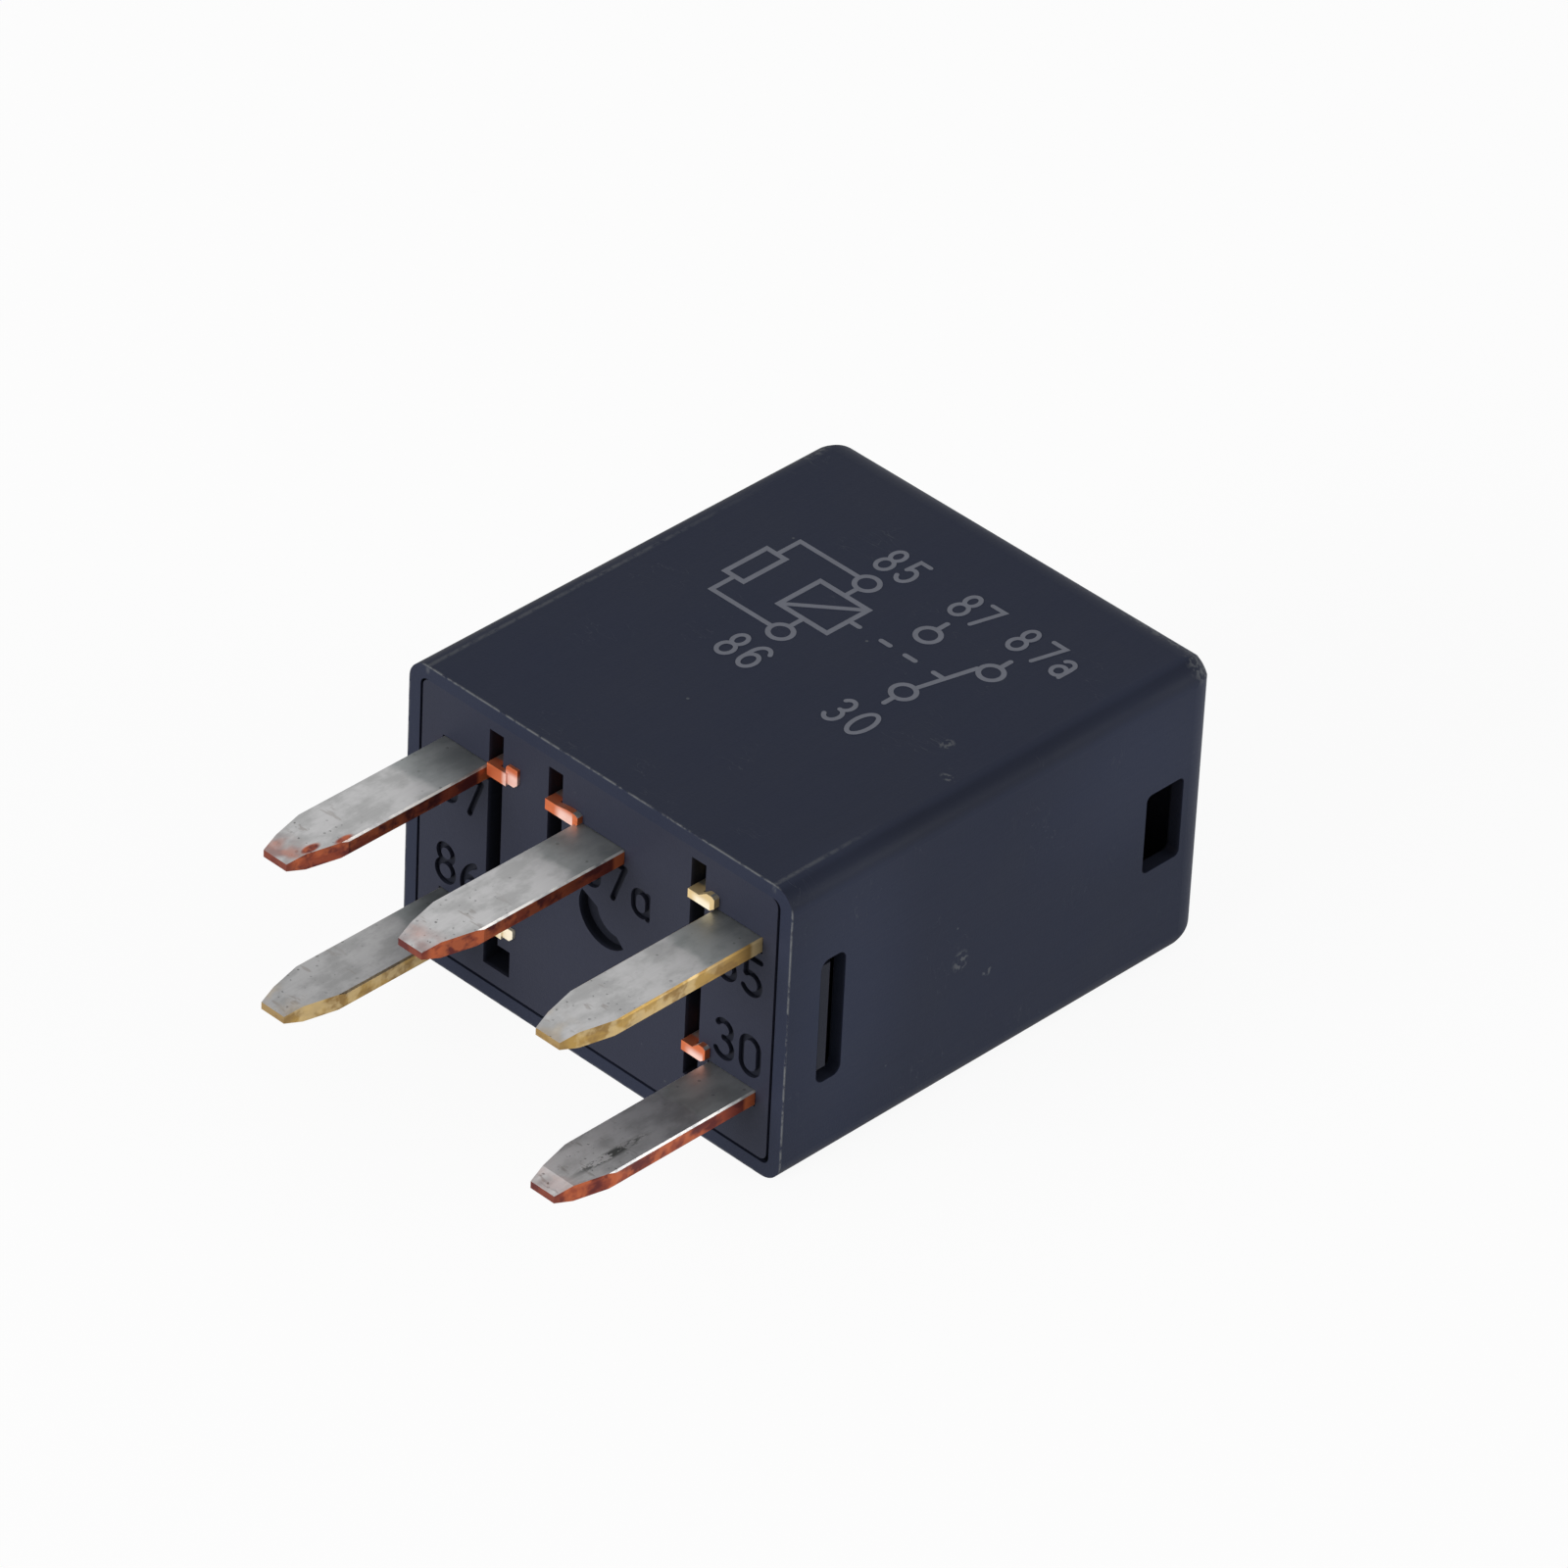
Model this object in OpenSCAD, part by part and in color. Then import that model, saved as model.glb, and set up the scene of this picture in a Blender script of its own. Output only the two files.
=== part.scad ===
// Five-blade changeover relay, lying on its broad face.
// +X runs across the body, +Y away from the blades, +Z up through the thickness.
// The origin is the centre of the broad face that it lies on.
// Depths are measured from the seating face, where the blades leave the body.

/* [Cover] */
// Width of the body across the blades
cover_w = 23; // [22.6:0.1:28]
// Length of the body along the blades
cover_len = 26; // [21:0.1:31]
// Thickness of the body
cover_h = 15.2; // [14.8:0.1:19]
// Wall of the cover's four sides
cover_wall = 0.7; // [0.5:0.05:0.85]
// Wall of the cover's closed end
cover_end_wall = 0.8; // [0.6:0.05:1.2]
// Radius of the four long edges
long_edge_r = 1.1; // [0.9:0.1:1.8]
// Radius of the edges round the closed end
end_edge_r = 1.7; // [1.2:0.1:2.6]

/* [Cover windows] */
// Distance from the rim to each latch window
latch_from_rim = 1.9; // [1.6:0.05:2.2]
// Width of a latch window along the body
latch_w = 1.47; // [1.3:0.05:1.8]
// Height of a latch window
latch_h = 6.45; // [4:0.05:8]
// Corner radius of a latch window
latch_r = 0.45; // [0.2:0.05:0.6]
// Distance from the closed end to each rear window
rear_window_from_end = 2.05; // [1.2:0.05:2.5]
// Width of a rear window along the body
rear_window_w = 2.3; // [1:0.1:3]
// Height of a rear window
rear_window_h = 4.15; // [2:0.05:6]
// Corner radius of a rear window
rear_window_r = 0.3; // [0.1:0.05:0.6]

/* [Base] */
// Thickness of the base plate
base_t = 2.4; // [2:0.1:3]
// Gap between the base plate and the cover at the sides and below
base_gap = 0.15; // [0.05:0.05:0.25]
// Width of the slots in the base plate
slot_w = 0.85; // [0.75:0.05:1]
// Distance from the top of the cover down to the slots
slot_from_top = 1.2; // [1:0.05:1.5]
// Depth of the crescent recess
crescent_depth = 0.5; // [0.2:0.1:1]
// Radius of the crescent recess
crescent_r = 1.6; // [1:0.1:1.9]
// Height of the sunken numerals, between the middles of their strokes
numeral_h = 1.85; // [1.4:0.05:1.95]
// Width of the strokes of the numerals
numeral_stroke = 0.3; // [0.18:0.01:0.34]
// Depth of the numerals
numeral_depth = 0.22; // [0.1:0.01:0.4]

/* [Blades] */
// Width of a blade
blade_w = 2.8; // [2.3:0.1:3.4]
// Thickness of a blade
blade_t = 0.8; // [0.6:0.05:1]
// How far the blades stand out of the seating face
blade_out = 11; // [8:0.1:14]
// Length of the tapered stretch at the tip
tip_len = 2.9; // [2:0.1:4]
// Width at the very tip
tip_w = 1.4; // [1:0.1:2]
// Length of the flattened stretch at the tip
tip_coin_len = 0.9; // [0.5:0.1:1.5]
// Thickness at the very tip
tip_t = 0.36; // [0.2:0.02:0.5]
// Chamfer on the four long edges of a blade
blade_chamfer = 0.08; // [0.02:0.01:0.15]
// Distance between the left and right columns of blades
column_pitch = 16.4; // [13.6:0.1:17]
// Sideways offset of the middle column from the middle of the cover
column_offset = 0.25; // [0:0.05:0.3]
// Distance between the lower and upper rows of blades
row_pitch = 8; // [7.6:0.1:8.2]
// Height of the middle of the rows above the middle of the cover
row_offset = 0.15; // [0:0.05:0.2]

/* [Terminal stampings] */
// Thickness of the strip inside the body
strip_t = 0.6; // [0.5:0.05:0.7]
// Width of the contact strips
strip_w = 2.4; // [2:0.1:2.6]
// How far the anchor tabs stand out of the seating face
tab_out = 0.3; // [0.2:0.05:0.6]
// Depth of the terminals' links behind the seating face
link_depth = 0.9; // [0.6:0.05:1]
// Clearance of the moulded pockets round the terminals
pocket_gap = 0.03; // [0.01:0.01:0.05]

/* [Magnet frame] */
// Thickness of the yoke
yoke_t = 1.4; // [1.2:0.1:1.6]
// Width of the yoke
yoke_w = 9; // [8.6:0.1:9.2]
// Diameter of the core
core_d = 4.4; // [3.6:0.1:5.4]
// Diameter of the pole face
pole_d = 7.4; // [6.2:0.1:8.8]
// Thickness of the pole face
pole_t = 0.8; // [0.6:0.1:1]
// Room above the yoke for the armature, the contacts and their travel
end_room = 4.8; // [4.5:0.1:5.6]

/* [Coil] */
// Wall of the bobbin's tube
bobbin_wall = 0.7; // [0.5:0.05:0.9]
// Thickness of the bobbin's flanges
flange_t = 0.9; // [0.7:0.1:1.1]
// Height of the flanges
flange_h = 11.8; // [11:0.1:12.2]
// How far the flanges stand out past the winding
flange_lip = 0.5; // [0.4:0.1:1.2]
// Diameter of the winding's end leads
lead_d = 0.26; // [0.2:0.02:0.3]

/* [Armature and contacts] */
// Thickness of the armature
armature_t = 1.2; // [1:0.1:1.4]
// Width of the armature
armature_w = 8.4; // [7:0.1:8.8]
// Angle that the armature stands open at rest
open_angle = 2.4; // [2:0.1:2.8]
// Running gap of the closed armature over the yoke and the pole face
seat_gap = 0.05; // [0.03:0.01:0.08]
// Thickness of the leaf spring
spring_t = 0.2; // [0.15:0.01:0.25]
// Width of the leaf spring on the armature
spring_w = 6; // [5:0.1:6.4]
// Width of the leaf spring at the moving contact
spring_tip_w = 3; // [2.8:0.1:3.4]
// Diameter of the contact heads
contact_d = 2.5; // [2:0.1:2.8]
// Thickness of a moving contact head
contact_head_t = 0.5; // [0.4:0.05:0.6]
// Thickness of a fixed contact head
fixed_head_t = 0.6; // [0.5:0.05:0.7]
// Gap left between contacts that touch in use
contact_gap = 0.03; // [0.03:0.01:0.1]

/* [Resistor] */
// Diameter of the resistor's body
resistor_d = 1.8; // [1.6:0.1:1.85]
// Length of the resistor's body
resistor_len = 6; // [4:0.1:6.4]
// Diameter of the resistor's leads
wire_d = 0.45; // [0.4:0.01:0.5]

/* [Hidden] */
$fn = 64;
cut = 0.5;                                  // how far a cutting shape runs past what it cuts

// Inside of the cover
inner_x = cover_w / 2 - cover_wall;
inner_bottom = cover_wall;
inner_top = cover_h - cover_wall;
inner_end = cover_len - cover_end_wall;
inner_edge_r = long_edge_r - cover_wall;
inner_end_r = end_edge_r - cover_end_wall;
mid_z = cover_h / 2;

// Blade places
right_x = column_offset + column_pitch / 2;
left_x = column_offset - column_pitch / 2;
low_z = mid_z + row_offset - row_pitch / 2;
high_z = mid_z + row_offset + row_pitch / 2;
numeral_w = 1;                              // width of a numeral between the middles of its strokes
blade_root = 1.6;                           // depth of the blades' roots in the base plate

// Slots in the base plate, each beside the blades whose strips pass through it
slot_left_x = left_x + blade_w / 2 + slot_w / 2;
slot_mid_x = column_offset - blade_w / 2 - slot_w / 2 - 0.95;
slot_right_x = right_x - blade_w / 2 - slot_w / 2 - 0.6;
slot_top = cover_h - slot_from_top;
anchor_neck = 0.45;                         // reach of the left-hand anchors' necks beside the slot
anchor_reach = 0.7;                         // width of their heads
tang_low = blade_t / 2;                     // how far a tang reaches below the middle of its blade
tang_high = 1.7;                            // and above it

// Risers of the two contact strips, and the slot between them
riser_gap = 0.87;
riser_87_x = slot_left_x;
riser_87a_x = riser_87_x + strip_t + riser_gap;

// Magnet frame: the yoke leg stands near the right wall, and the coil fills the width between
// the yoke leg and the contact strips
side_room = 1.2;                            // space between the yoke leg and the wall, for the spring
yoke_out_x = inner_x - side_room;
yoke_in_x = yoke_out_x - yoke_t;
yoke_top = inner_end - end_room;
yoke_foot = base_t + strip_t;               // depth of the yoke's underside
flange_room = 0.4;                          // clearance of the flanges beside the yoke leg
riser_room = 0.955;                         // and beside the contact strips
flange_left = riser_87a_x + strip_t / 2 + riser_room;
flange_right = yoke_in_x - flange_room;
flange_w = flange_right - flange_left;
coil_x = (flange_left + flange_right) / 2;
coil_z = mid_z;
coil_low = yoke_foot + yoke_t;              // underside of the lower flange
pole_top = yoke_top;
coil_high = pole_top - pole_t;              // top of the upper flange
bobbin_bore = core_d / 2 + 0.05;
spool_r = bobbin_bore + bobbin_wall;
core_tail_r = core_d / 2 - 0.6;
horn_w = 1;                                 // width of the horns on the yoke that locate the armature
horn_h = 0.8;
yoke_foot_end_x = coil_x - core_d / 2 - 0.8;

// Coil posts and the winding between them
post_h = 0.8;                               // height of the posts that the leads wrap on
post_85_z = mid_z + yoke_w / 2 + 0.5 + post_h / 2;
post_86_z = low_z - 0.1;
post_top = coil_low + flange_t + 1.2;
lead_depth = coil_low + flange_t + 0.75;    // depth at which the leads leave the winding
wrap_r = norm([strip_t / 2, post_h / 2]) + lead_d / 2 + 0.03;
wrap_turns = 3;
wrap_room = 0.15;                           // clearance between a wrapped post and the winding
post_distance = norm([slot_right_x - coil_x, post_85_z - coil_z]) - wrap_r - lead_d - wrap_room;
winding_d = 2 * min(flange_w / 2 - flange_lip, flange_h / 2 - flange_lip, post_distance);

// Armature, drawn closed and then tipped open about the rear lower edge
hinge_x = yoke_out_x - 0.75;
hinge_depth = yoke_top + seat_gap;
armature_end_x = coil_x - pole_d / 2 - 1.6;
armature_len = hinge_x - armature_end_x;
horn_gap = 0.2;
spring_r = 0.7;                             // inside radius of the spring's bend
spring_leg = 8.2;                           // length of the spring's leg down the yoke
spring_slack = 0.02;                        // gap between the spring's leg and the yoke
spring_end = 1.5;                           // how far the spring runs past the moving contact

// Contact side, on the left
contact_x = inner_x - 3.4;                  // distance of the contacts from the middle, on the left
contact_z = mid_z;
contact_reach = hinge_x + contact_x;
contact_lift = contact_reach * sin(open_angle);
open_face = hinge_depth + armature_t - contact_head_t - contact_gap;
closed_face = hinge_depth + contact_lift + (armature_t + spring_t + contact_head_t) * cos(open_angle)
    + contact_gap;
open_strip_top = open_face - fixed_head_t;
closed_strip_low = closed_face + fixed_head_t;
strip_top_z = high_z + 1.55;                // top edge of the two contact strips
strip_low_z = strip_top_z - strip_w;
contact_pad = contact_d / 2 + 0.25;         // half width of the strips round a contact
rivet_r = 0.5;                              // radius of the rivets' shanks
rivet_play = 0.04;                          // clearance of the rivets in their holes
contact_shank_r = 0.6;

// Resistor and supports
resistor_depth = base_t + 0.1 + resistor_d / 2;
resistor_z = inner_bottom + 0.15 + resistor_d / 2;
resistor_start = slot_left_x + strip_t / 2 + wire_d + 0.02;     // past the lead to the left-hand post
resistor_x = max((slot_left_x + slot_right_x) / 2 - 1.05, resistor_start + resistor_len / 2);
wire_side_x = yoke_out_x + 0.65;
pad_w = 1;                                  // width of the pads that carry the yoke
rail_w = 0.5;                               // width of the outer ribs beside the contact strips
rail_t = 0.8;                               // thickness of the roof over the ribs
rail_top = (base_t + yoke_top) / 2 + 0.85;   // depth that the ribs reach to
comb_z = inner_top - 0.1;
comb_gap = riser_gap - 0.3;
comb_low = riser_87_x - strip_t / 2 - 0.15 - rail_w;
comb_high = riser_87a_x + strip_t / 2 + 0.15 + rail_w;

// Puts a shape drawn with its depth from the seating face into the part's own frame.
module from_seat() {
    translate([0, -cover_len / 2, 0]) children();
}

// A flat outline in X and Z, thickened from one depth to another.
module across(near, far) {
    translate([0, far, 0]) rotate([90, 0, 0]) linear_extrude(height = far - near) children();
}

// An outline in X and depth, thickened evenly above and below a height.
module level(z, height) {
    translate([0, 0, z - height / 2]) linear_extrude(height = height) children();
}

// A block given by its low and high limits along each axis.
module block(x, depth, z) {
    translate([x[0], depth[0], z[0]]) cube([x[1] - x[0], depth[1] - depth[0], z[1] - z[0]]);
}

// A rectangle with its four corners rounded.
module rounded_rect(w, h, r) {
    square([w - 2 * r, h], center = true);
    square([w, h - 2 * r], center = true);
    for (sx = [-1, 1], sy = [-1, 1]) translate([sx * (w / 2 - r), sy * (h / 2 - r)]) circle(r);
}

// A rectangle from y = 0 to y = len whose two far corners are rounded.
module end_rounded(w, len, r) {
    translate([-w / 2, 0]) square([w, len - r]);
    translate([-w / 2 + r, 0]) square([w - 2 * r, len]);
    for (sx = [-1, 1]) translate([sx * (w / 2 - r), len - r]) circle(r);
}

// A closed box with rounded long edges and rounded edges round its far end.
module rounded_shell(w, len, h, r_long, r_end) {
    intersection() {
        translate([0, 0, h / 2]) across(0, len) rounded_rect(w, h, r_long);
        linear_extrude(height = h) end_rounded(w, len, r_end);
        translate([0, 0, h / 2]) rotate([0, -90, 0]) translate([0, 0, -w / 2])
            linear_extrude(height = w) end_rounded(h, len, r_end);
    }
}

// Keeps everything of such a box but the points of its four far corners, which it turns into balls.
// The balls are just large enough to meet the rounded edges without a step.
module balled_corners(w, len, h, r_long, r_end) {
    ball_r = max(sqrt(2) * (r_end - r_long * (1 - sqrt(0.5))), r_end) + 0.017;
    start = len - ball_r + 0.01;
    block([-w, w], [-cut, start], [-h, 2 * h]);
    block([r_end - w / 2, w / 2 - r_end], [0, len + cut], [-h, 2 * h]);
    block([-w, w], [0, len + cut], [r_end, h - r_end]);
    for (s = [-1, 1], z = [r_end, h - r_end]) translate([s * (w / 2 - r_end), start, z]) sphere(ball_r);
}

// A window through both side walls, centred on a height, from one depth to another.
module side_windows(near, w, h, r) {
    translate([-cover_w, near + w / 2, mid_z]) rotate([0, 90, 0])
        linear_extrude(height = 2 * cover_w) rounded_rect(h, w, r);
}

module cover() {
    color([0.18, 0.19, 0.235]) from_seat() difference() {
        intersection() {
            rounded_shell(cover_w, cover_len, cover_h, long_edge_r, end_edge_r);
            balled_corners(cover_w, cover_len, cover_h, long_edge_r, end_edge_r);
        }
        translate([0, -cut, inner_bottom])
            rounded_shell(2 * inner_x, inner_end + cut, inner_top - inner_bottom, inner_edge_r, inner_end_r);
        side_windows(latch_from_rim, latch_w, latch_h, latch_r);
        side_windows(cover_len - rear_window_from_end - rear_window_w, rear_window_w, rear_window_h,
            rear_window_r);
    }
}

// One snap tongue on the right edge of the base plate, with its lead-in slope.
module snap_tongue() {
    bite = cover_wall + base_gap - 0.1;
    front = latch_from_rim + 0.12;
    edge = inner_x - base_gap;
    level(mid_z + 0.2, latch_h - 1) polygon([
        [edge - cut, front], [edge + bite, front], [edge + bite, front + 0.5],
        [edge, front + 1.1], [edge - cut, front + 1.1]]);
}

// The crescent recess in the seating face: a disc less a smaller one beside it, with blunt ends.
module crescent() {
    translate([0.69, mid_z + 0.56]) intersection() {
        difference() {
            circle(crescent_r);
            translate([0.62, 0.42]) circle(0.7 * crescent_r);
        }
        polygon(concat([[0, 0]], [for (a = [155 : 32 : 315]) 2 * crescent_r * [cos(a), sin(a)]]));
    }
}

// The slots through the base plate, as an outline in X and Z.
module slots() {
    low_wide = 1.6;
    translate([slot_left_x - slot_w / 2, 1.7]) square([slot_w, slot_top - 1.7]);
    translate([slot_left_x - slot_w / 2, 1.7]) square([low_wide, low_z - blade_t - 1.6]);
    translate([slot_mid_x - slot_w / 2, high_z - 2.1]) square([slot_w, slot_top - high_z + 2.1]);
    translate([slot_right_x - slot_w / 2, low_z - 1.1]) square([slot_w, slot_top - low_z + 1.1]);
}

// One stroke of a numeral between two points, with round ends.
module stroke(a, b) {
    translate(a) rotate(atan2(b[1] - a[1], b[0] - a[0])) translate([0, -numeral_stroke / 2])
        square([norm(b - a), numeral_stroke]);
    for (p = [a, b]) translate(p) circle(d = numeral_stroke, $fn = 24);
}

// A curved stroke round a centre, from one angle to another, with round ends.
module bow(centre, r, from, to) {
    turn = to - from;
    translate(centre) {
        intersection() {
            difference() {
                circle(r + numeral_stroke / 2, $fn = 48);
                circle(r - numeral_stroke / 2, $fn = 48);
            }
            polygon(concat([[0, 0]], [for (i = [0 : 6]) 3 * [cos(from + turn * i / 6), sin(from + turn * i / 6)]]));
        }
        for (a = [from, to]) translate([r * cos(a), r * sin(a)]) circle(d = numeral_stroke, $fn = 24);
    }
}

// A full round stroke.
module loop(centre, r) {
    translate(centre) difference() {
        circle(r + numeral_stroke / 2, $fn = 48);
        circle(r - numeral_stroke / 2, $fn = 48);
    }
}

// One numeral, or the letter a, drawn from its lower left corner.
module numeral(sign) {
    mid = numeral_w / 2;
    top = numeral_h;
    upper = 0.2325 * top;
    lower = 0.271 * top;
    small = 0.227 * top;
    back = 0.74 * top;
    if (sign == "8") {
        loop([mid, top - upper], upper);
        loop([mid, lower], lower);
    }
    if (sign == "6") {
        loop([mid, lower], lower);
        bow([mid - lower + back, lower], back, 118, 180);
    }
    if (sign == "3") {
        bow([mid, top - upper], upper, -90, 150);
        bow([mid, lower], lower, -150, 90);
    }
    if (sign == "0") {
        bow([mid, top - mid], mid, 0, 180);
        bow([mid, mid], mid, 180, 360);
        for (x = [0, numeral_w]) stroke([x, mid], [x, top - mid]);
    }
    if (sign == "5") {
        stroke([0.1, top], [numeral_w - 0.08, top]);
        stroke([0.1, top], [0.1, top / 2]);
        bow([0.41, lower + 0.02], lower + 0.02, -145, 128);
    }
    if (sign == "7") {
        stroke([0, top], [numeral_w, top]);
        stroke([numeral_w, top], [0.32, 0]);
    }
    if (sign == "a") {
        bow([small, small], small, 180, 360);
        bow([small, small + 0.36], small, 0, 180);
        stroke([0, small], [0, small + 0.36]);
        stroke([2 * small, 0], [2 * small, 2 * small + 0.36]);
    }
}

// The five blade numbers sunk into the seating face.
module numerals() {
    labels = [
        ["30", right_x - 1.05, low_z + 1.1], ["85", right_x - 1.1, high_z - 2.78],
        ["86", left_x - 1.55, low_z + 0.92], ["87", left_x - 1.55, high_z - 2.75],
        ["87a", column_offset - 1.05, high_z - 2.4]];
    for (label = labels, i = [0 : len(label[0]) - 1])
        translate([label[1] + i * (numeral_w + 0.55), label[2]]) numeral(label[0][i]);
}

// Supports on the inner side of the base plate.
module base_supports() {
    ledge = yoke_w / 2 + 0.15;
    // pads that the yoke stands on
    for (x = [yoke_foot_end_x + 0.3, yoke_out_x - pad_w - 0.2])
        block([x, x + pad_w], [base_t - cut, yoke_foot], [mid_z - 3.2, mid_z + 3.2]);
    // ribs that hold the yoke's foot between them, clear of the terminals' tangs
    for (s = [-1, 1])
        block([slot_right_x - 2.6, slot_right_x - 1.1], [base_t - cut, yoke_foot + yoke_t / 2],
            [mid_z + s * (ledge + 0.3) - 0.3, mid_z + s * (ledge + 0.3) + 0.3]);
    // comb that holds the two contact strips apart: a roof with three ribs under it
    block([comb_low, comb_high], [base_t - cut, rail_top], [comb_z - rail_t, comb_z]);
    comb_rib(comb_low, rail_w, base_t - cut);
    comb_rib((riser_87_x + riser_87a_x - comb_gap) / 2, comb_gap, base_t - cut);
    comb_rib(comb_high - rail_w, rail_w, base_t + strip_t + 0.15);
}

// One rib of the comb, from a given depth up.
module comb_rib(x, w, near) {
    block([x, x + w], [near, rail_top], [strip_low_z + 0.3, comb_z - rail_t / 2]);
}

module base() {
    base_bottom = inner_bottom + base_gap;
    base_h = inner_top - base_bottom;
    color([0.2, 0.21, 0.25]) from_seat() difference() {
        union() {
            across(0, base_t) translate([0, base_bottom + base_h / 2])
                rounded_rect(2 * (inner_x - base_gap), base_h, inner_edge_r);
            for (s = [0, 1]) mirror([s, 0, 0]) snap_tongue();
            base_supports();
        }
        translate([0, -cut, 0]) across(0, base_t + 2 * cut) slots();
        translate([0, -cut, 0]) across(0, crescent_depth + cut) crescent();
        across(-cut, numeral_depth) numerals();
        terminal_roots(pocket_gap);
    }
}

// One blade with its tapered and flattened tip, its root in the base plate.
module blade(x, z) {
    half = blade_w / 2;
    translate([x, 0, z]) intersection() {
        level(0, blade_t) polygon([
            [-half, blade_root], [half, blade_root], [half, tip_len - blade_out], [tip_w / 2, -blade_out],
            [-tip_w / 2, -blade_out], [-half, tip_len - blade_out]]);
        rotate([90, 0, 90]) translate([0, 0, -half]) linear_extrude(height = blade_w) polygon([
            [blade_root, -blade_t / 2], [blade_root, blade_t / 2], [tip_coin_len - blade_out, blade_t / 2],
            [-blade_out, tip_t / 2], [-blade_out, -tip_t / 2], [tip_coin_len - blade_out, -blade_t / 2]]);
        across(-blade_out, blade_root) polygon([
            [-half, blade_chamfer - blade_t / 2], [blade_chamfer - half, -blade_t / 2],
            [half - blade_chamfer, -blade_t / 2], [half, blade_chamfer - blade_t / 2],
            [half, blade_t / 2 - blade_chamfer], [half - blade_chamfer, blade_t / 2],
            [blade_chamfer - half, blade_t / 2], [-half, blade_t / 2 - blade_chamfer]]);
    }
}

// The link behind the front of the base plate that joins a blade to its tang, from the blade's
// middle to the far side of the tang.
module link(x, z, slot_x, near, far, gap) {
    side = slot_x + (slot_x < x ? -1 : 1) * (strip_t / 2 + gap);
    block([min(x, side), max(x, side)], [near, far], [z - blade_t / 2 - gap, z + blade_t / 2 + gap]);
}

// Pockets for all five roots; the stretches past the links let the tangs through.
module terminal_roots(gap) {
    places = [[right_x, low_z, slot_right_x], [right_x, high_z, slot_right_x], [left_x, low_z, slot_left_x],
        [left_x, high_z, slot_left_x], [column_offset, high_z, slot_mid_x]];
    half = blade_w / 2 + gap;
    for (p = places) {
        block([p[0] - half, p[0] + half], [-cut, blade_root + gap],
            [p[1] - blade_t / 2 - gap, p[1] + blade_t / 2 + gap]);
        link(p[0], p[1], p[2], link_depth - gap, blade_root + gap, gap);
        block([p[2] - strip_t / 2 - gap, p[2] + strip_t / 2 + gap], [link_depth - gap, base_t + cut],
            [p[1] - tang_low - gap, p[1] + tang_high + gap]);
    }
}

// The tang in the slot, from the link to a chosen depth.
module tang(z, slot_x, depth, top) {
    block([slot_x - strip_t / 2, slot_x + strip_t / 2], [link_depth, depth], [z - tang_low, top]);
}

// The neck that rises from the tang through the slot and carries an anchor.
module anchor_neck_up(slot_x, out, low, high) {
    block([slot_x - strip_t / 2, slot_x + strip_t / 2], [-out, link_depth + 0.3], [low, high]);
}

// The anchor of a terminal: its neck's end bent over the seating face beside the slot, with
// sheared corners and a step down to the neck.
module anchor_tab(slot_x, reach, low, high, step) {
    side = slot_x + strip_t / 2;
    anchor_neck_up(slot_x, tab_out, low, high - step);
    across(-tab_out, 0) polygon([
        [slot_x, low], [side + reach - 0.25, low], [side + reach, low + 0.2],
        [side + reach, high - 0.1], [side + reach - 0.15, high], [side + reach * 0.5, high],
        [side + 0.05, high - step], [slot_x, high - step]]);
}

// The narrower anchor of the left-hand terminals: a neck across the slot's edge and a thin head.
module anchor_head(slot_x, neck, head_low, head_high) {
    side = slot_x + strip_t / 2;
    anchor_neck_up(slot_x, tab_out * 0.8, head_low - 0.1, head_low - 0.1 + neck);
    across(-tab_out * 0.8, 0) translate([slot_x, head_low - 0.1])
        square([strip_t / 2 + anchor_neck + 0.1, neck]);
    across(-tab_out * 0.5, 0) polygon([
        [side + anchor_neck, head_low], [side + anchor_neck + anchor_reach - 0.2, head_low],
        [side + anchor_neck + anchor_reach, head_low + 0.2], [side + anchor_neck + anchor_reach, head_high],
        [side + anchor_neck + 0.1, head_high], [side + anchor_neck, head_high - 0.15]]);
}

module terminal_30() {
    color([0.72, 0.72, 0.7]) from_seat() {
        blade(right_x, low_z);
        link(right_x, low_z, slot_right_x, link_depth, blade_root, 0);
        tang(low_z, slot_right_x, yoke_foot, low_z + tang_high);
        anchor_tab(slot_right_x, 0.8, low_z + 0.4, low_z + 1.2, 0.3);
        // foot under the yoke
        block([slot_right_x - 1.8, slot_right_x + strip_t / 2], [base_t, yoke_foot],
            [low_z - tang_low, low_z + tang_high]);
    }
}

module terminal_85() {
    color([0.72, 0.72, 0.7]) from_seat() {
        blade(right_x, high_z);
        link(right_x, high_z, slot_right_x, link_depth, blade_root, 0);
        tang(high_z, slot_right_x, base_t, max(high_z + tang_high, post_85_z + post_h / 2));
        anchor_tab(slot_right_x, 0.95, high_z + 0.4, high_z + 1.15, 0.3);
        coil_post(slot_right_x, post_85_z);
    }
}

module terminal_86() {
    color([0.72, 0.72, 0.7]) from_seat() {
        blade(left_x, low_z);
        link(left_x, low_z, slot_left_x, link_depth, blade_root, 0);
        tang(low_z, slot_left_x, base_t, low_z + tang_high);
        anchor_head(slot_left_x, 0.45, low_z + 0.05, low_z + 0.65);
        coil_post(slot_left_x, post_86_z);
    }
}

// A post that a coil lead is wrapped on.
module coil_post(x, z) {
    block([x - strip_t / 2, x + strip_t / 2], [blade_root, post_top], [z - post_h / 2, z + post_h / 2]);
}

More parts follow.
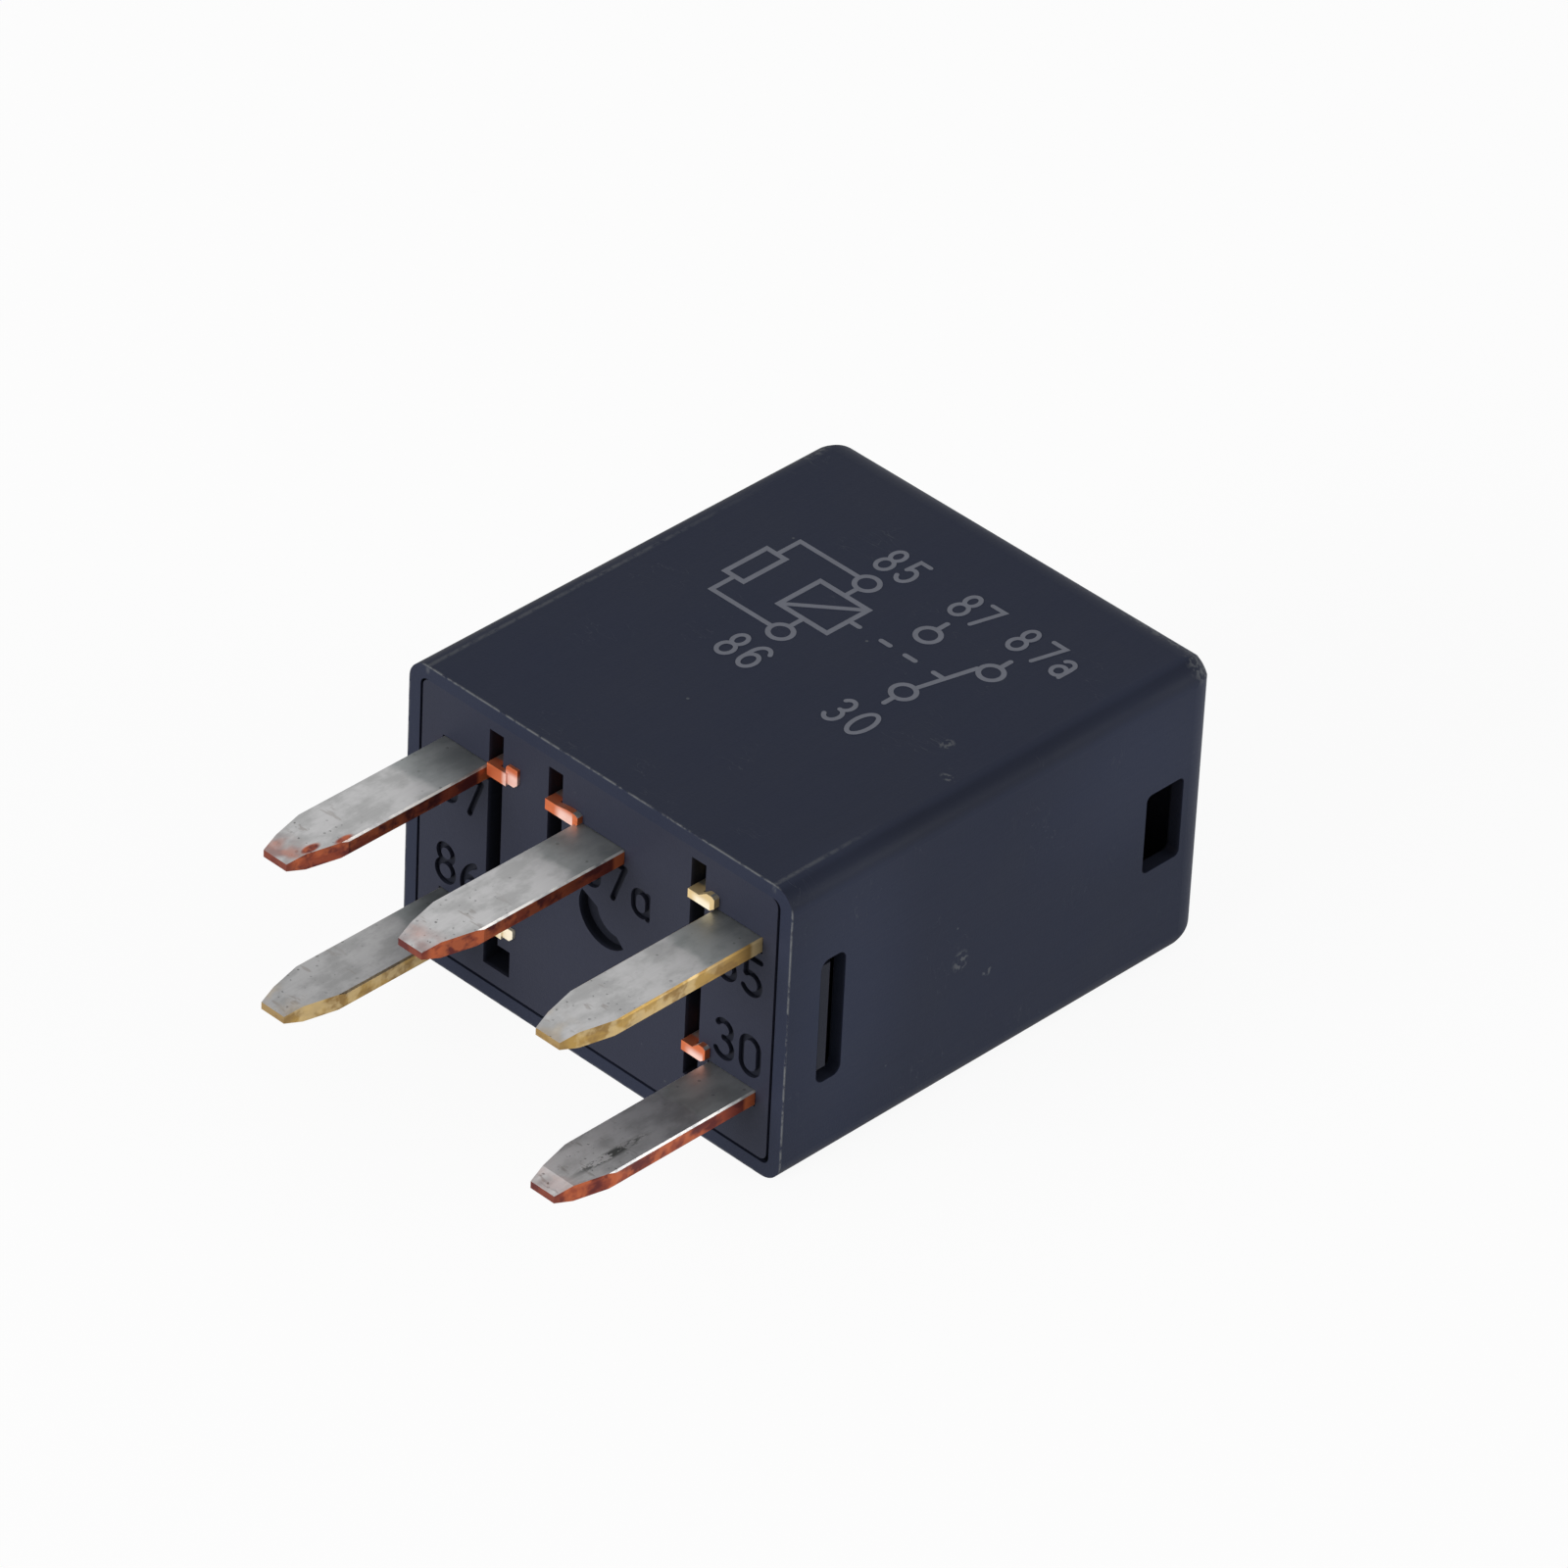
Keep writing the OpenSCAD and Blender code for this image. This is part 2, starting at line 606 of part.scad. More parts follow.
// The end of a contact strip, folded over to the contact, as an outline in X and Z.
module contact_strip_end(riser_x) {
    left = -contact_x - contact_pad;
    difference() {
        union() {
            translate([left + 0.8, strip_low_z]) square([riser_x + strip_t / 2 - left - 0.8, strip_w]);
            translate([left, contact_z]) square([2 * contact_pad, strip_top_z - 0.8 - contact_z]);
            translate([left + 0.8, strip_top_z - 0.8]) circle(0.8);
            translate([-contact_x, contact_z]) circle(contact_pad);
        }
        translate([-contact_x, contact_z]) circle(contact_shank_r + rivet_play);
    }
}

// A riser that carries a contact strip's end up from the base plate.
module riser(x, near, far) {
    block([x - strip_t / 2, x + strip_t / 2], [near, far], [strip_low_z, strip_top_z]);
}

module terminal_87() {
    color([0.72, 0.72, 0.7]) from_seat() {
        blade(left_x, high_z);
        link(left_x, high_z, slot_left_x, link_depth, blade_root, 0);
        tang(high_z, slot_left_x, base_t + strip_t, high_z + tang_high);
        anchor_head(slot_left_x, 0.65, high_z + 0.15, high_z + 1.1);
        riser(riser_87_x, base_t, open_strip_top);
        across(open_strip_top - strip_t, open_strip_top) contact_strip_end(riser_87_x);
    }
}

module terminal_87a() {
    color([0.72, 0.72, 0.7]) from_seat() {
        blade(column_offset, high_z);
        link(column_offset, high_z, slot_mid_x, link_depth, blade_root, 0);
        tang(high_z, slot_mid_x, base_t + strip_t, high_z + tang_high);
        anchor_tab(slot_mid_x, 1.35, high_z + 0.25, high_z + 0.9, 0.1);
        // strap across the back of the base plate to the riser
        block([min(riser_87a_x, slot_mid_x) - strip_t / 2, max(riser_87a_x, slot_mid_x) + strip_t / 2],
            [base_t, base_t + strip_t], [strip_low_z, strip_top_z]);
        riser(riser_87a_x, base_t, closed_strip_low + strip_t);
        across(closed_strip_low, closed_strip_low + strip_t) contact_strip_end(riser_87a_x);
    }
}

module yoke() {
    half = yoke_w / 2;
    color([0.62, 0.62, 0.6]) from_seat() difference() {
        union() {
            level(mid_z, yoke_w) polygon([
                [yoke_foot_end_x, yoke_foot], [yoke_out_x - 0.6, yoke_foot], [yoke_out_x, yoke_foot + 0.6],
                [yoke_out_x, yoke_top], [yoke_in_x, yoke_top], [yoke_in_x, coil_low],
                [yoke_foot_end_x, coil_low]]);
            for (s = [-1, 1])
                block([yoke_in_x, yoke_out_x], [yoke_top - cut, yoke_top + horn_h],
                    [mid_z + s * (half - horn_w / 2) - horn_w / 2, mid_z + s * (half - horn_w / 2) + horn_w / 2]);
        }
        translate([coil_x, yoke_foot - cut, coil_z]) rotate([-90, 0, 0])
            cylinder(r = core_tail_r + 0.03, h = yoke_t + 2 * cut);
        yoke_rivet_places() rivet_hole(1.1);
    }
}

module core() {
    color([0.66, 0.66, 0.64]) from_seat() translate([coil_x, 0, coil_z]) rotate([-90, 0, 0])
        rotate_extrude() polygon([
            [0, yoke_foot], [core_tail_r - 0.2, yoke_foot], [core_tail_r, yoke_foot + 0.2],
            [core_tail_r, coil_low], [core_d / 2, coil_low], [core_d / 2, coil_high],
            [pole_d / 2, coil_high], [pole_d / 2, pole_top - 0.15], [pole_d / 2 - 0.15, pole_top],
            [0, pole_top]]);
}

// One flange of the bobbin, as an outline in X and Z about the coil's axis.
module flange_outline() {
    rounded_rect(flange_w, flange_h, 1.2);
}

module bobbin() {
    color([0.86, 0.84, 0.78]) from_seat() difference() {
        translate([coil_x, 0, coil_z]) {
            across(coil_low, coil_low + flange_t) flange_outline();
            across(coil_high - flange_t, coil_high) flange_outline();
            rotate([-90, 0, 0]) translate([0, 0, coil_low]) cylinder(r = spool_r, h = coil_high - coil_low);
        }
        translate([coil_x, coil_low - cut, coil_z]) rotate([-90, 0, 0])
            cylinder(r = bobbin_bore, h = coil_high - coil_low + 2 * cut);
        // notch in the lower flange for the lead to terminal 85
        block([slot_right_x - 0.5, slot_right_x + 1.6], [coil_low - cut, coil_low + flange_t + cut],
            [coil_z + winding_d / 2 - 0.4, inner_top]);
    }
}

module coil_winding() {
    color([0.7, 0.33, 0.16]) from_seat() translate([coil_x, coil_low + flange_t, coil_z]) rotate([-90, 0, 0])
        difference() {
            cylinder(r = winding_d / 2, h = coil_high - coil_low - 2 * flange_t);
            translate([0, 0, -cut]) cylinder(r = spool_r, h = coil_high - coil_low);
        }
}

// A straight stretch of wire with round ends between two points.
module wire(a, b, d) {
    run = b - a;
    translate(a) rotate([0, acos(run[2] / norm(run)), atan2(run[1], run[0])])
        cylinder(d = d, h = norm(run), $fn = 24);
    for (p = [a, b]) translate(p) sphere(d = d, $fn = 24);
}

// Turns of a coil lead wrapped close together round its post, the last one at a given depth.
module wrap(x, z, depth) {
    translate([x, depth, z]) rotate([90, 0, 0]) rotate_extrude($fn = 32)
        for (i = [0 : wrap_turns - 1])
            translate([wrap_r, i * lead_d * 0.9]) circle(d = lead_d + 0.02, $fn = 20);
}

// A coil lead from the winding's upper (side 1) or lower (side -1) flank to its wrapped post,
// leaving the winding a chosen distance inward of the post.
module coil_lead(side, reach, post_x, post_z) {
    r = winding_d / 2 + lead_d / 2;
    inward = -sign(post_x);
    angle = side * acos(max(-0.98, min(0.98, (post_x + inward * reach - coil_x) / r)));
    color([0.74, 0.38, 0.2]) from_seat() {
        wire([coil_x + r * cos(angle), lead_depth, coil_z + r * sin(angle)],
            [post_x + inward * wrap_r, lead_depth, post_z], lead_d);
        wrap(post_x, post_z, lead_depth);
    }
}

module coil_start_lead() {
    coil_lead(1, 2.5, slot_right_x, post_85_z);
}

module coil_end_lead() {
    coil_lead(-1, 5.6, slot_left_x, post_86_z);
}

// Puts a shape drawn on the closed armature, with x running from the hinge to the free end
// and y up from the armature's underside, into its place with the armature open.
module on_armature() {
    translate([hinge_x, hinge_depth, mid_z]) rotate([0, 0, -open_angle]) mirror([1, 0, 0]) children();
}

// The two places where the spring is riveted to the armature.
module armature_rivet_places() {
    on_armature() for (s = [-1, 1]) translate([3.4, armature_t, s * 1.9]) rotate([-90, 0, 0]) children();
}

// The two places where the spring is riveted to the yoke.
module yoke_rivet_places() {
    for (s = [-1, 1]) translate([yoke_out_x, yoke_top - spring_leg + 1.6, mid_z + s * 1.7])
        rotate([0, 90, 0]) children();
}

// A hole for a rivet's shank, sunk to a depth and cut through the spring above it.
module rivet_hole(depth) {
    translate([0, 0, -depth]) cylinder(r = rivet_r + rivet_play, h = depth + spring_t + cut);
}

// A rivet through the spring: shank below the seat, domed head on the spring.
module rivet(depth) {
    head = spring_t + spring_slack;
    rotate_extrude() polygon([
        [0, -depth], [rivet_r, -depth], [rivet_r, head], [rivet_r + 0.4, head], [rivet_r + 0.4, head + 0.18],
        [rivet_r + 0.15, head + 0.38], [0, head + 0.42]]);
}

module armature() {
    half = armature_w / 2;
    neck = yoke_w / 2 - horn_w - horn_gap;
    neck_len = hinge_x - yoke_in_x + horn_gap;
    color([0.64, 0.64, 0.62]) from_seat() difference() {
        on_armature() intersection() {
            rotate([90, 0, 0]) translate([0, 0, -armature_t]) linear_extrude(height = armature_t) polygon([
                [0, -neck], [neck_len, -neck], [neck_len, -half], [armature_len - 0.8, -half],
                [armature_len, -half + 0.8], [armature_len, half - 0.8], [armature_len - 0.8, half],
                [neck_len, half], [neck_len, neck], [0, neck]]);
            level(0, 2 * half) polygon([
                [0, 0], [armature_len, 0], [armature_len, armature_t - 0.2], [armature_len - 0.2, armature_t],
                [0.35, armature_t], [0.05, armature_t - 0.4]]);
        }
        armature_rivet_places() rivet_hole(armature_t - 0.2);
    }
}

// Points round part of a circle.
function arc(centre, r, from, to) =
    [for (i = [0 : 12]) let (a = from + (to - from) * i / 12) centre + r * [cos(a), sin(a)]];

// The spring's outline along its length: the leg on the yoke, the bend and the run on the armature.
module spring_side() {
    along_armature = [-cos(open_angle), sin(open_angle)];
    out_of_armature = [sin(open_angle), cos(open_angle)];
    rise = armature_t - spring_r;
    bend_x = yoke_out_x + spring_slack - spring_r;
    run_start = (hinge_x - bend_x + rise * sin(open_angle)) / cos(open_angle);
    bend = [bend_x, hinge_depth + run_start * sin(open_angle) + rise * cos(open_angle)];
    tip = bend + (contact_reach + spring_end - run_start) * along_armature;
    outer_r = spring_r + spring_t;
    polygon(concat(
        [[bend_x + outer_r, yoke_top - spring_leg]], arc(bend, outer_r, 0, 90 - open_angle),
        [tip + outer_r * out_of_armature, tip + spring_r * out_of_armature],
        arc(bend, spring_r, 90 - open_angle, 0), [[bend_x + spring_r, yoke_top - spring_leg]]));
}

module contact_spring() {
    taper_from = armature_len + 0.4;
    taper_to = taper_from + 2;
    far = contact_reach + spring_end;
    color([0.8, 0.55, 0.3]) from_seat() difference() {
        level(mid_z, spring_w) spring_side();
        // waist the spring down to the width of its contact end
        on_armature() for (s = [0, 1]) mirror([0, 0, s]) rotate([90, 0, 0])
            translate([0, 0, -armature_t - spring_t - cut]) linear_extrude(height = spring_t + 2 * cut) polygon([
                [taper_from, spring_w / 2], [taper_to, spring_tip_w / 2], [far - 0.7, spring_tip_w / 2],
                [far, spring_tip_w / 2 - 0.7], [far + 1, spring_tip_w / 2 - 0.7], [far + 1, spring_w],
                [taper_from, spring_w]]);
        yoke_rivet_places() rivet_hole(0.1);
        armature_rivet_places() rivet_hole(0.1);
        on_armature() translate([contact_reach, armature_t - cut, 0]) rotate([-90, 0, 0])
            cylinder(r = contact_shank_r + rivet_play, h = spring_t + 2 * cut);
    }
}

module armature_rivets() {
    color([0.75, 0.75, 0.73]) from_seat() armature_rivet_places() rivet(armature_t - 0.3);
}

module yoke_rivets() {
    color([0.75, 0.75, 0.73]) from_seat() yoke_rivet_places() rivet(1);
}

// Half the section of a domed contact head that stands on y = 0.
function head_points(t) = [for (i = [0 : 6])
    [contact_d / 2 * cos(i * 15), t - 0.12 + 0.12 * sin(i * 15)]];

module moving_contact() {
    top = head_points(contact_head_t);
    upper = [for (p = top) [p[0], p[1] + spring_t]];
    lower = [for (i = [len(top) - 1 : -1 : 0]) [top[i][0], -top[i][1]]];
    color([0.82, 0.82, 0.84]) from_seat() on_armature() translate([contact_reach, armature_t, 0])
        rotate([-90, 0, 0]) rotate_extrude() polygon(concat(
            lower, [[contact_d / 2, 0], [contact_shank_r, 0], [contact_shank_r, spring_t],
            [contact_d / 2, spring_t]], upper));
}

// A fixed contact, its head standing on its strip and its shank riveted behind it.
module fixed_contact() {
    rotate_extrude() polygon(concat([
        [0, -strip_t - 0.25], [contact_shank_r + 0.3, -strip_t - 0.25], [contact_shank_r + 0.3, -strip_t],
        [contact_shank_r, -strip_t], [contact_shank_r, 0], [contact_d / 2, 0]],
        head_points(fixed_head_t)));
}

module fixed_contact_open() {
    color([0.82, 0.82, 0.84]) from_seat() translate([-contact_x, open_strip_top, contact_z])
        rotate([-90, 0, 0]) fixed_contact();
}

module fixed_contact_closed() {
    color([0.82, 0.82, 0.84]) from_seat() translate([-contact_x, closed_strip_low, contact_z])
        rotate([90, 0, 0]) fixed_contact();
}

module resistor_body() {
    bulge = resistor_d / 2;
    waist = bulge - 0.15;
    cap = 1.3;
    color([0.25, 0.45, 0.6]) from_seat() translate([resistor_x - resistor_len / 2, resistor_depth, resistor_z])
        rotate([0, 90, 0]) rotate_extrude() polygon([
            [0, 0], [bulge - 0.35, 0], [bulge, 0.35], [bulge, cap], [waist, cap + 0.3],
            [waist, resistor_len - cap - 0.3], [bulge, resistor_len - cap], [bulge, resistor_len - 0.35],
            [bulge - 0.35, resistor_len], [0, resistor_len]]);
}

module resistor_lead_85() {
    start = [resistor_x + resistor_len / 2 + wire_d / 2, resistor_depth, resistor_z];
    low_corner = [wire_side_x, resistor_depth, resistor_z];
    high_corner = [wire_side_x, resistor_depth, post_85_z];
    finish = [slot_right_x + strip_t / 2 + wire_d / 2 + 0.01, resistor_depth, post_85_z];
    color([0.78, 0.78, 0.78]) from_seat() {
        wire(start, low_corner, wire_d);
        wire(low_corner, high_corner, wire_d);
        wire(high_corner, finish, wire_d);
    }
}

module resistor_lead_86() {
    start = [resistor_x - resistor_len / 2 - wire_d / 2, resistor_depth, resistor_z];
    corner = [slot_left_x + strip_t / 2 + wire_d / 2 + 0.01, resistor_depth, resistor_z];
    finish = [corner[0], resistor_depth, post_86_z];
    color([0.78, 0.78, 0.78]) from_seat() {
        wire(start, corner, wire_d);
        wire(corner, finish, wire_d);
    }
}

cover();
base();
terminal_30();
terminal_85();
terminal_86();
terminal_87();
terminal_87a();
yoke();
core();
bobbin();
coil_winding();
coil_start_lead();
coil_end_lead();
armature();
contact_spring();
armature_rivets();
yoke_rivets();
moving_contact();
fixed_contact_open();
fixed_contact_closed();
resistor_body();
resistor_lead_85();
resistor_lead_86();
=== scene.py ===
"""Looks of a small five-blade changeover relay that lies on its broad face.

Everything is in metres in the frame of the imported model: +X across the body, +Y away from the blades and
+Z up, with the origin at the middle of the face it lies on. Sizes in the classes are in millimetres, apart
from the studio's.
"""

import logging
import math
from collections.abc import Sequence
from dataclasses import dataclass, field
from enum import Enum
from functools import cached_property

import bmesh
import bpy
from mathutils import Matrix, Vector


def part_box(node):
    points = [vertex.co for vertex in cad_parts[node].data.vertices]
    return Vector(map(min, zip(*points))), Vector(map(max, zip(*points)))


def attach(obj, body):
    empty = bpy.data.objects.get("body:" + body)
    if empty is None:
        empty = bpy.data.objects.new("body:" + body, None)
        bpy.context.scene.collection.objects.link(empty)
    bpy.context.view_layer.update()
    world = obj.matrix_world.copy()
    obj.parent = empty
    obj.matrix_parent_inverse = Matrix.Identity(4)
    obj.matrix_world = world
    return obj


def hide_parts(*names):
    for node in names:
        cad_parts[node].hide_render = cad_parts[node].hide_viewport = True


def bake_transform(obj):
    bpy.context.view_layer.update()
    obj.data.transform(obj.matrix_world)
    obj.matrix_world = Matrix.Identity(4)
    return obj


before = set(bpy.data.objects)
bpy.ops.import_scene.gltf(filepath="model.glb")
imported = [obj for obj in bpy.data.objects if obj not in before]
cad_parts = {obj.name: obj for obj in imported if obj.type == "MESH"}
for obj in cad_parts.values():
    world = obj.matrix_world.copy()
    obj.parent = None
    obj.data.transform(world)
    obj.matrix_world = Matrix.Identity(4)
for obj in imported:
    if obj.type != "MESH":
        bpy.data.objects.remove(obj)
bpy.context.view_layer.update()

LOG = logging.getLogger("relay")
MM = 0.001
SEATING = -13.0                                 # y of the face that the blades leave, in mm
CLOSED = 13.0                                   # y of the cover's closed end
SIDE = 11.5                                     # x of the cover's right side
MIDDLE = 7.6                                    # z halfway between the two broad faces
TOP = 15.2                                      # z of the marked face
LEFT, CENTRE, RIGHT = -7.95, 0.25, 8.45         # x of the blades' columns
LOW, HIGH = 3.75, 11.75                         # z of the blades' rows
BLADE_HALF = 1.4                                # half the width of a blade
BODY = "relay_body"

Colour = tuple[float, float, float]
Point = tuple[float, float]
Zone = tuple[Sequence[float], Sequence[float]]   # middle and half sizes of a place, in mm
Ring = list[bmesh.types.BMVert]


class Axis(Enum):
    """Directions along which a metal piece may have been rolled or drawn."""

    X = 0
    Y = 1


class Core(Enum):
    """What the strip under the tin plate is made of, as it shows on the sheared edges."""

    COPPER = "copper"
    BRASS = "brass"


# ---------------------------------------------------------------------------------------------- shaders


@dataclass(frozen=True, eq=False)
class Sock:
    """A node's output that can be written into formulas; each operator adds one Math node.

    Attributes:
        board: The board that its formulas are built on.
        node: The node.
        out: Name or number of the output that is meant.
    """

    board: "Board"
    node: bpy.types.Node
    out: int | str = 0

    @property
    def socket(self) -> bpy.types.NodeSocket:
        """The output itself."""
        return self.node.outputs[self.out]

    def _join(self, operation: str, first: "Sock | float", second: "Sock | float | None" = None) -> "Sock":
        """Adds one Math node.

        Args:
            operation: The Math node's operation.
            first: Its first value.
            second: Its second value, if the operation takes two.

        Returns:
            The node's result.
        """
        inputs: dict = {0: first}
        if second is not None:
            inputs[1] = second
        return self.board.add("ShaderNodeMath", {"operation": operation}, inputs)

    def __add__(self, other: "Sock | float") -> "Sock":
        """self + other."""
        return self._join("ADD", self, other)

    def __radd__(self, other: float) -> "Sock":
        """other + self."""
        return self._join("ADD", other, self)

    def __sub__(self, other: "Sock | float") -> "Sock":
        """self - other."""
        return self._join("SUBTRACT", self, other)

    def __rsub__(self, other: float) -> "Sock":
        """other - self."""
        return self._join("SUBTRACT", other, self)

    def __mul__(self, other: "Sock | float") -> "Sock":
        """self * other."""
        return self._join("MULTIPLY", self, other)

    def __rmul__(self, other: float) -> "Sock":
        """other * self."""
        return self._join("MULTIPLY", other, self)

    def __abs__(self) -> "Sock":
        """|self|."""
        return self._join("ABSOLUTE", self)

    def __or__(self, other: "Sock | float") -> "Sock":
        """The larger of two masks."""
        return self._join("MAXIMUM", self, other)

    def __ror__(self, other: float) -> "Sock":
        """The larger of two masks."""
        return self._join("MAXIMUM", other, self)


class Board:
    """A node tree that formulas are built on."""

    def __init__(self, tree: bpy.types.NodeTree) -> None:
        """Takes over a tree and empties it.

        Args:
            tree: The tree of a material or of the surroundings.
        """
        self.tree = tree
        tree.nodes.clear()

    def add(self, kind: str, settings: dict, inputs: dict, out: int | str = 0) -> Sock:
        """Adds one node: its settings first, then the values or links of its sockets.

        Args:
            kind: The node's type.
            settings: The node's own properties.
            inputs: Socket name or number, and the value or the Sock it takes.
            out: The output to give back.

        Returns:
            The chosen output.
        """
        node = self.tree.nodes.new(kind)
        for key, value in settings.items():
            setattr(node, key, value)
        for key, value in inputs.items():
            if isinstance(value, Sock):
                self.tree.links.new(value.socket, node.inputs[key])
            else:
                node.inputs[key].default_value = value
        return Sock(self, node, out)

    def seen(self) -> Sock:
        """1 for what the eye, gloss and glass see, and 0 for what matt surfaces gather."""
        path = self.add("ShaderNodeLightPath", {}, {}, "Is Camera Ray")
        return path | Sock(self, path.node, "Is Glossy Ray") | Sock(self, path.node, "Is Transmission Ray")

    def split(self, vector: Sock) -> tuple[Sock, Sock, Sock]:
        """The three parts of a vector."""
        parts = self.add("ShaderNodeSeparateXYZ", {}, {"Vector": vector})
        return tuple(Sock(self, parts.node, i) for i in range(3))

    def ramp(self, value: Sock, start: float, end: float) -> Sock:
        """0 at start and 1 at end, smooth between them; start may be above end.

        Args:
            value: What is measured.
            start: Value that gives 0.
            end: Value that gives 1.

        Returns:
            The mask.
        """
        rising = end > start
        low, high = (start, end) if rising else (end, start)
        return self.add(
            "ShaderNodeMapRange",
            {"interpolation_type": "SMOOTHSTEP", "clamp": True},
            {
                "Value": value,
                "From Min": low,
                "From Max": high,
                "To Min": 0.0 if rising else 1.0,
                "To Max": 1.0 if rising else 0.0,
            },
        )


class Surface(Board):
    """A material with one Principled shader, and the patterns that its formulas draw on."""

    def __init__(self, name: str) -> None:
        """Makes the material with its shader and the place of each point in millimetres.

        Args:
            name: The material's name.
        """
        self.material = bpy.data.materials.new(name)
        self.material.use_nodes = True
        super().__init__(self.material.node_tree)
        self.shader = self.add("ShaderNodeBsdfPrincipled", {}, {})
        self.add("ShaderNodeOutputMaterial", {}, {"Surface": self.shader})
        metres = self.add("ShaderNodeTexCoord", {}, {}, "Object")
        self.place = self.add(
            "ShaderNodeVectorMath", {"operation": "SCALE"}, {"Vector": metres, "Scale": 1 / MM}
        )
        self.normal = Sock(self, metres.node, "Normal")

    @cached_property
    def xyz(self) -> tuple[Sock, Sock, Sock]:
        """The three parts of the place, in mm."""
        return self.split(self.place)

    @cached_property
    def facing(self) -> tuple[Sock, Sock, Sock]:
        """The three parts of the direction that the surface faces."""
        return self.split(self.normal)

    def stretched(self, scale: Sequence[float], shift: Sequence[float] = (0.0, 0.0, 0.0)) -> Sock:
        """The place scaled and then moved, for patterns that run along one direction.

        Args:
            scale: Factor on each axis.
            shift: What is added after scaling, which also picks another part of a noise.

        Returns:
            The new vector.
        """
        scaled = self.add(
            "ShaderNodeVectorMath", {"operation": "MULTIPLY"}, {0: self.place, 1: tuple(scale)}
        )
        return self.add("ShaderNodeVectorMath", {"operation": "ADD"}, {0: scaled, 1: tuple(shift)})

    def noise(self, scale: float | Sequence[float], detail: float, rough: float, seed: float) -> Sock:
        """Smooth noise from about 0.3 to 0.7.

        Args:
            scale: Waves per millimetre, alike or for each axis.
            detail: How many finer layers are added.
            rough: How strong those layers are.
            seed: Picks another part of the pattern.

        Returns:
            The noise's value.
        """
        factors = (scale,) * 3 if isinstance(scale, (int, float)) else scale
        vector = self.stretched(factors, (seed, seed * 1.7, -seed))
        return self.add(
            "ShaderNodeTexNoise", {}, {"Vector": vector, "Scale": 1.0, "Detail": detail, "Roughness": rough}
        )

    def cells(self, scale: float, size: float, seed: float) -> Sock:
        """Small round spots, one in each cell of a grid that isn't regular.

        Args:
            scale: Cells per millimetre.
            size: Radius of a spot as a share of a cell.
            seed: Picks another part of the pattern.

        Returns:
            1 in a spot and 0 outside, with a soft edge.
        """
        vector = self.stretched((scale,) * 3, (seed, -seed, seed * 0.6))
        inputs = {"Vector": vector, "Scale": 1.0}
        distance = self.add("ShaderNodeTexVoronoi", {"feature": "F1"}, inputs, "Distance")
        return self.ramp(distance, size, size * 0.55)

    def spot(self, centre: Sequence[float], size: Sequence[float], soft: float = 0.35) -> Sock:
        """A soft ellipsoid of influence at one place.

        Args:
            centre: Its middle, in mm.
            size: Its half sizes on the three axes, in mm.
            soft: Share of the size over which it fades.

        Returns:
            1 inside and 0 outside.
        """
        factors = tuple(1 / s for s in size)
        away = self.stretched(factors, tuple(-c / s for c, s in zip(centre, size)))
        length = self.add("ShaderNodeVectorMath", {"operation": "LENGTH"}, {0: away}, "Value")
        return self.ramp(length, 1.0 + soft, 1.0 - soft)

    def mix(self, factor: Sock | float, first: Sock | Colour, second: Sock | Colour) -> Sock:
        """A colour between two colours.

        Args:
            factor: 0 for the first and 1 for the second.
            first: A colour or a colour socket.
            second: A colour or a colour socket.

        Returns:
            The mixed colour.
        """
        chosen = [c if isinstance(c, Sock) else (*c, 1.0) for c in (first, second)]
        return self.add(
            "ShaderNodeMix",
            {"data_type": "RGBA", "clamp_factor": True},
            {0: factor, 6: chosen[0], 7: chosen[1]},
            2,
        )

    def shade(self, colour: Sock | Colour, factor: Sock) -> Sock:
        """A colour made darker or lighter by a factor that varies.

        Args:
            colour: The colour.
            factor: The factor; 1 leaves the colour as it is.

        Returns:
            The product.
        """
        first = colour if isinstance(colour, Sock) else tuple(colour)
        return self.add("ShaderNodeVectorMath", {"operation": "SCALE"}, {"Vector": first, "Scale": factor})

    def bump(self, height: Sock, distance: float, under: Sock | None = None) -> Sock:
        """Relief from a height, laid over another relief.

        Args:
            height: Height from 0 to 1.
            distance: Real height of 1, in mm.
            under: The relief beneath.

        Returns:
            The new normal.
        """
        inputs: dict = {"Height": height, "Distance": distance * MM, "Strength": 1.0}
        if under is not None:
            inputs["Normal"] = under
        return self.add("ShaderNodeBump", {}, inputs)

    def finish(self, colour: Sock, rough: Sock, relief: Sock, **constants: float) -> bpy.types.Material:
        """Feeds the shader.

        Args:
            colour: The base colour.
            rough: The roughness.
            relief: The normal.
            constants: The shader's other sockets, in small letters with underscores, and their values.

        Returns:
            The finished material.
        """
        inputs = {socket.name.lower().replace(" ", "_"): socket for socket in self.shader.node.inputs}
        for name, value in constants.items():
            inputs[name].default_value = value
        for name, value in (("base_color", colour), ("roughness", rough), ("normal", relief)):
            self.tree.links.new(value.socket, inputs[name])
        return self.material


# --------------------------------------------------------------------------------------------- finishes


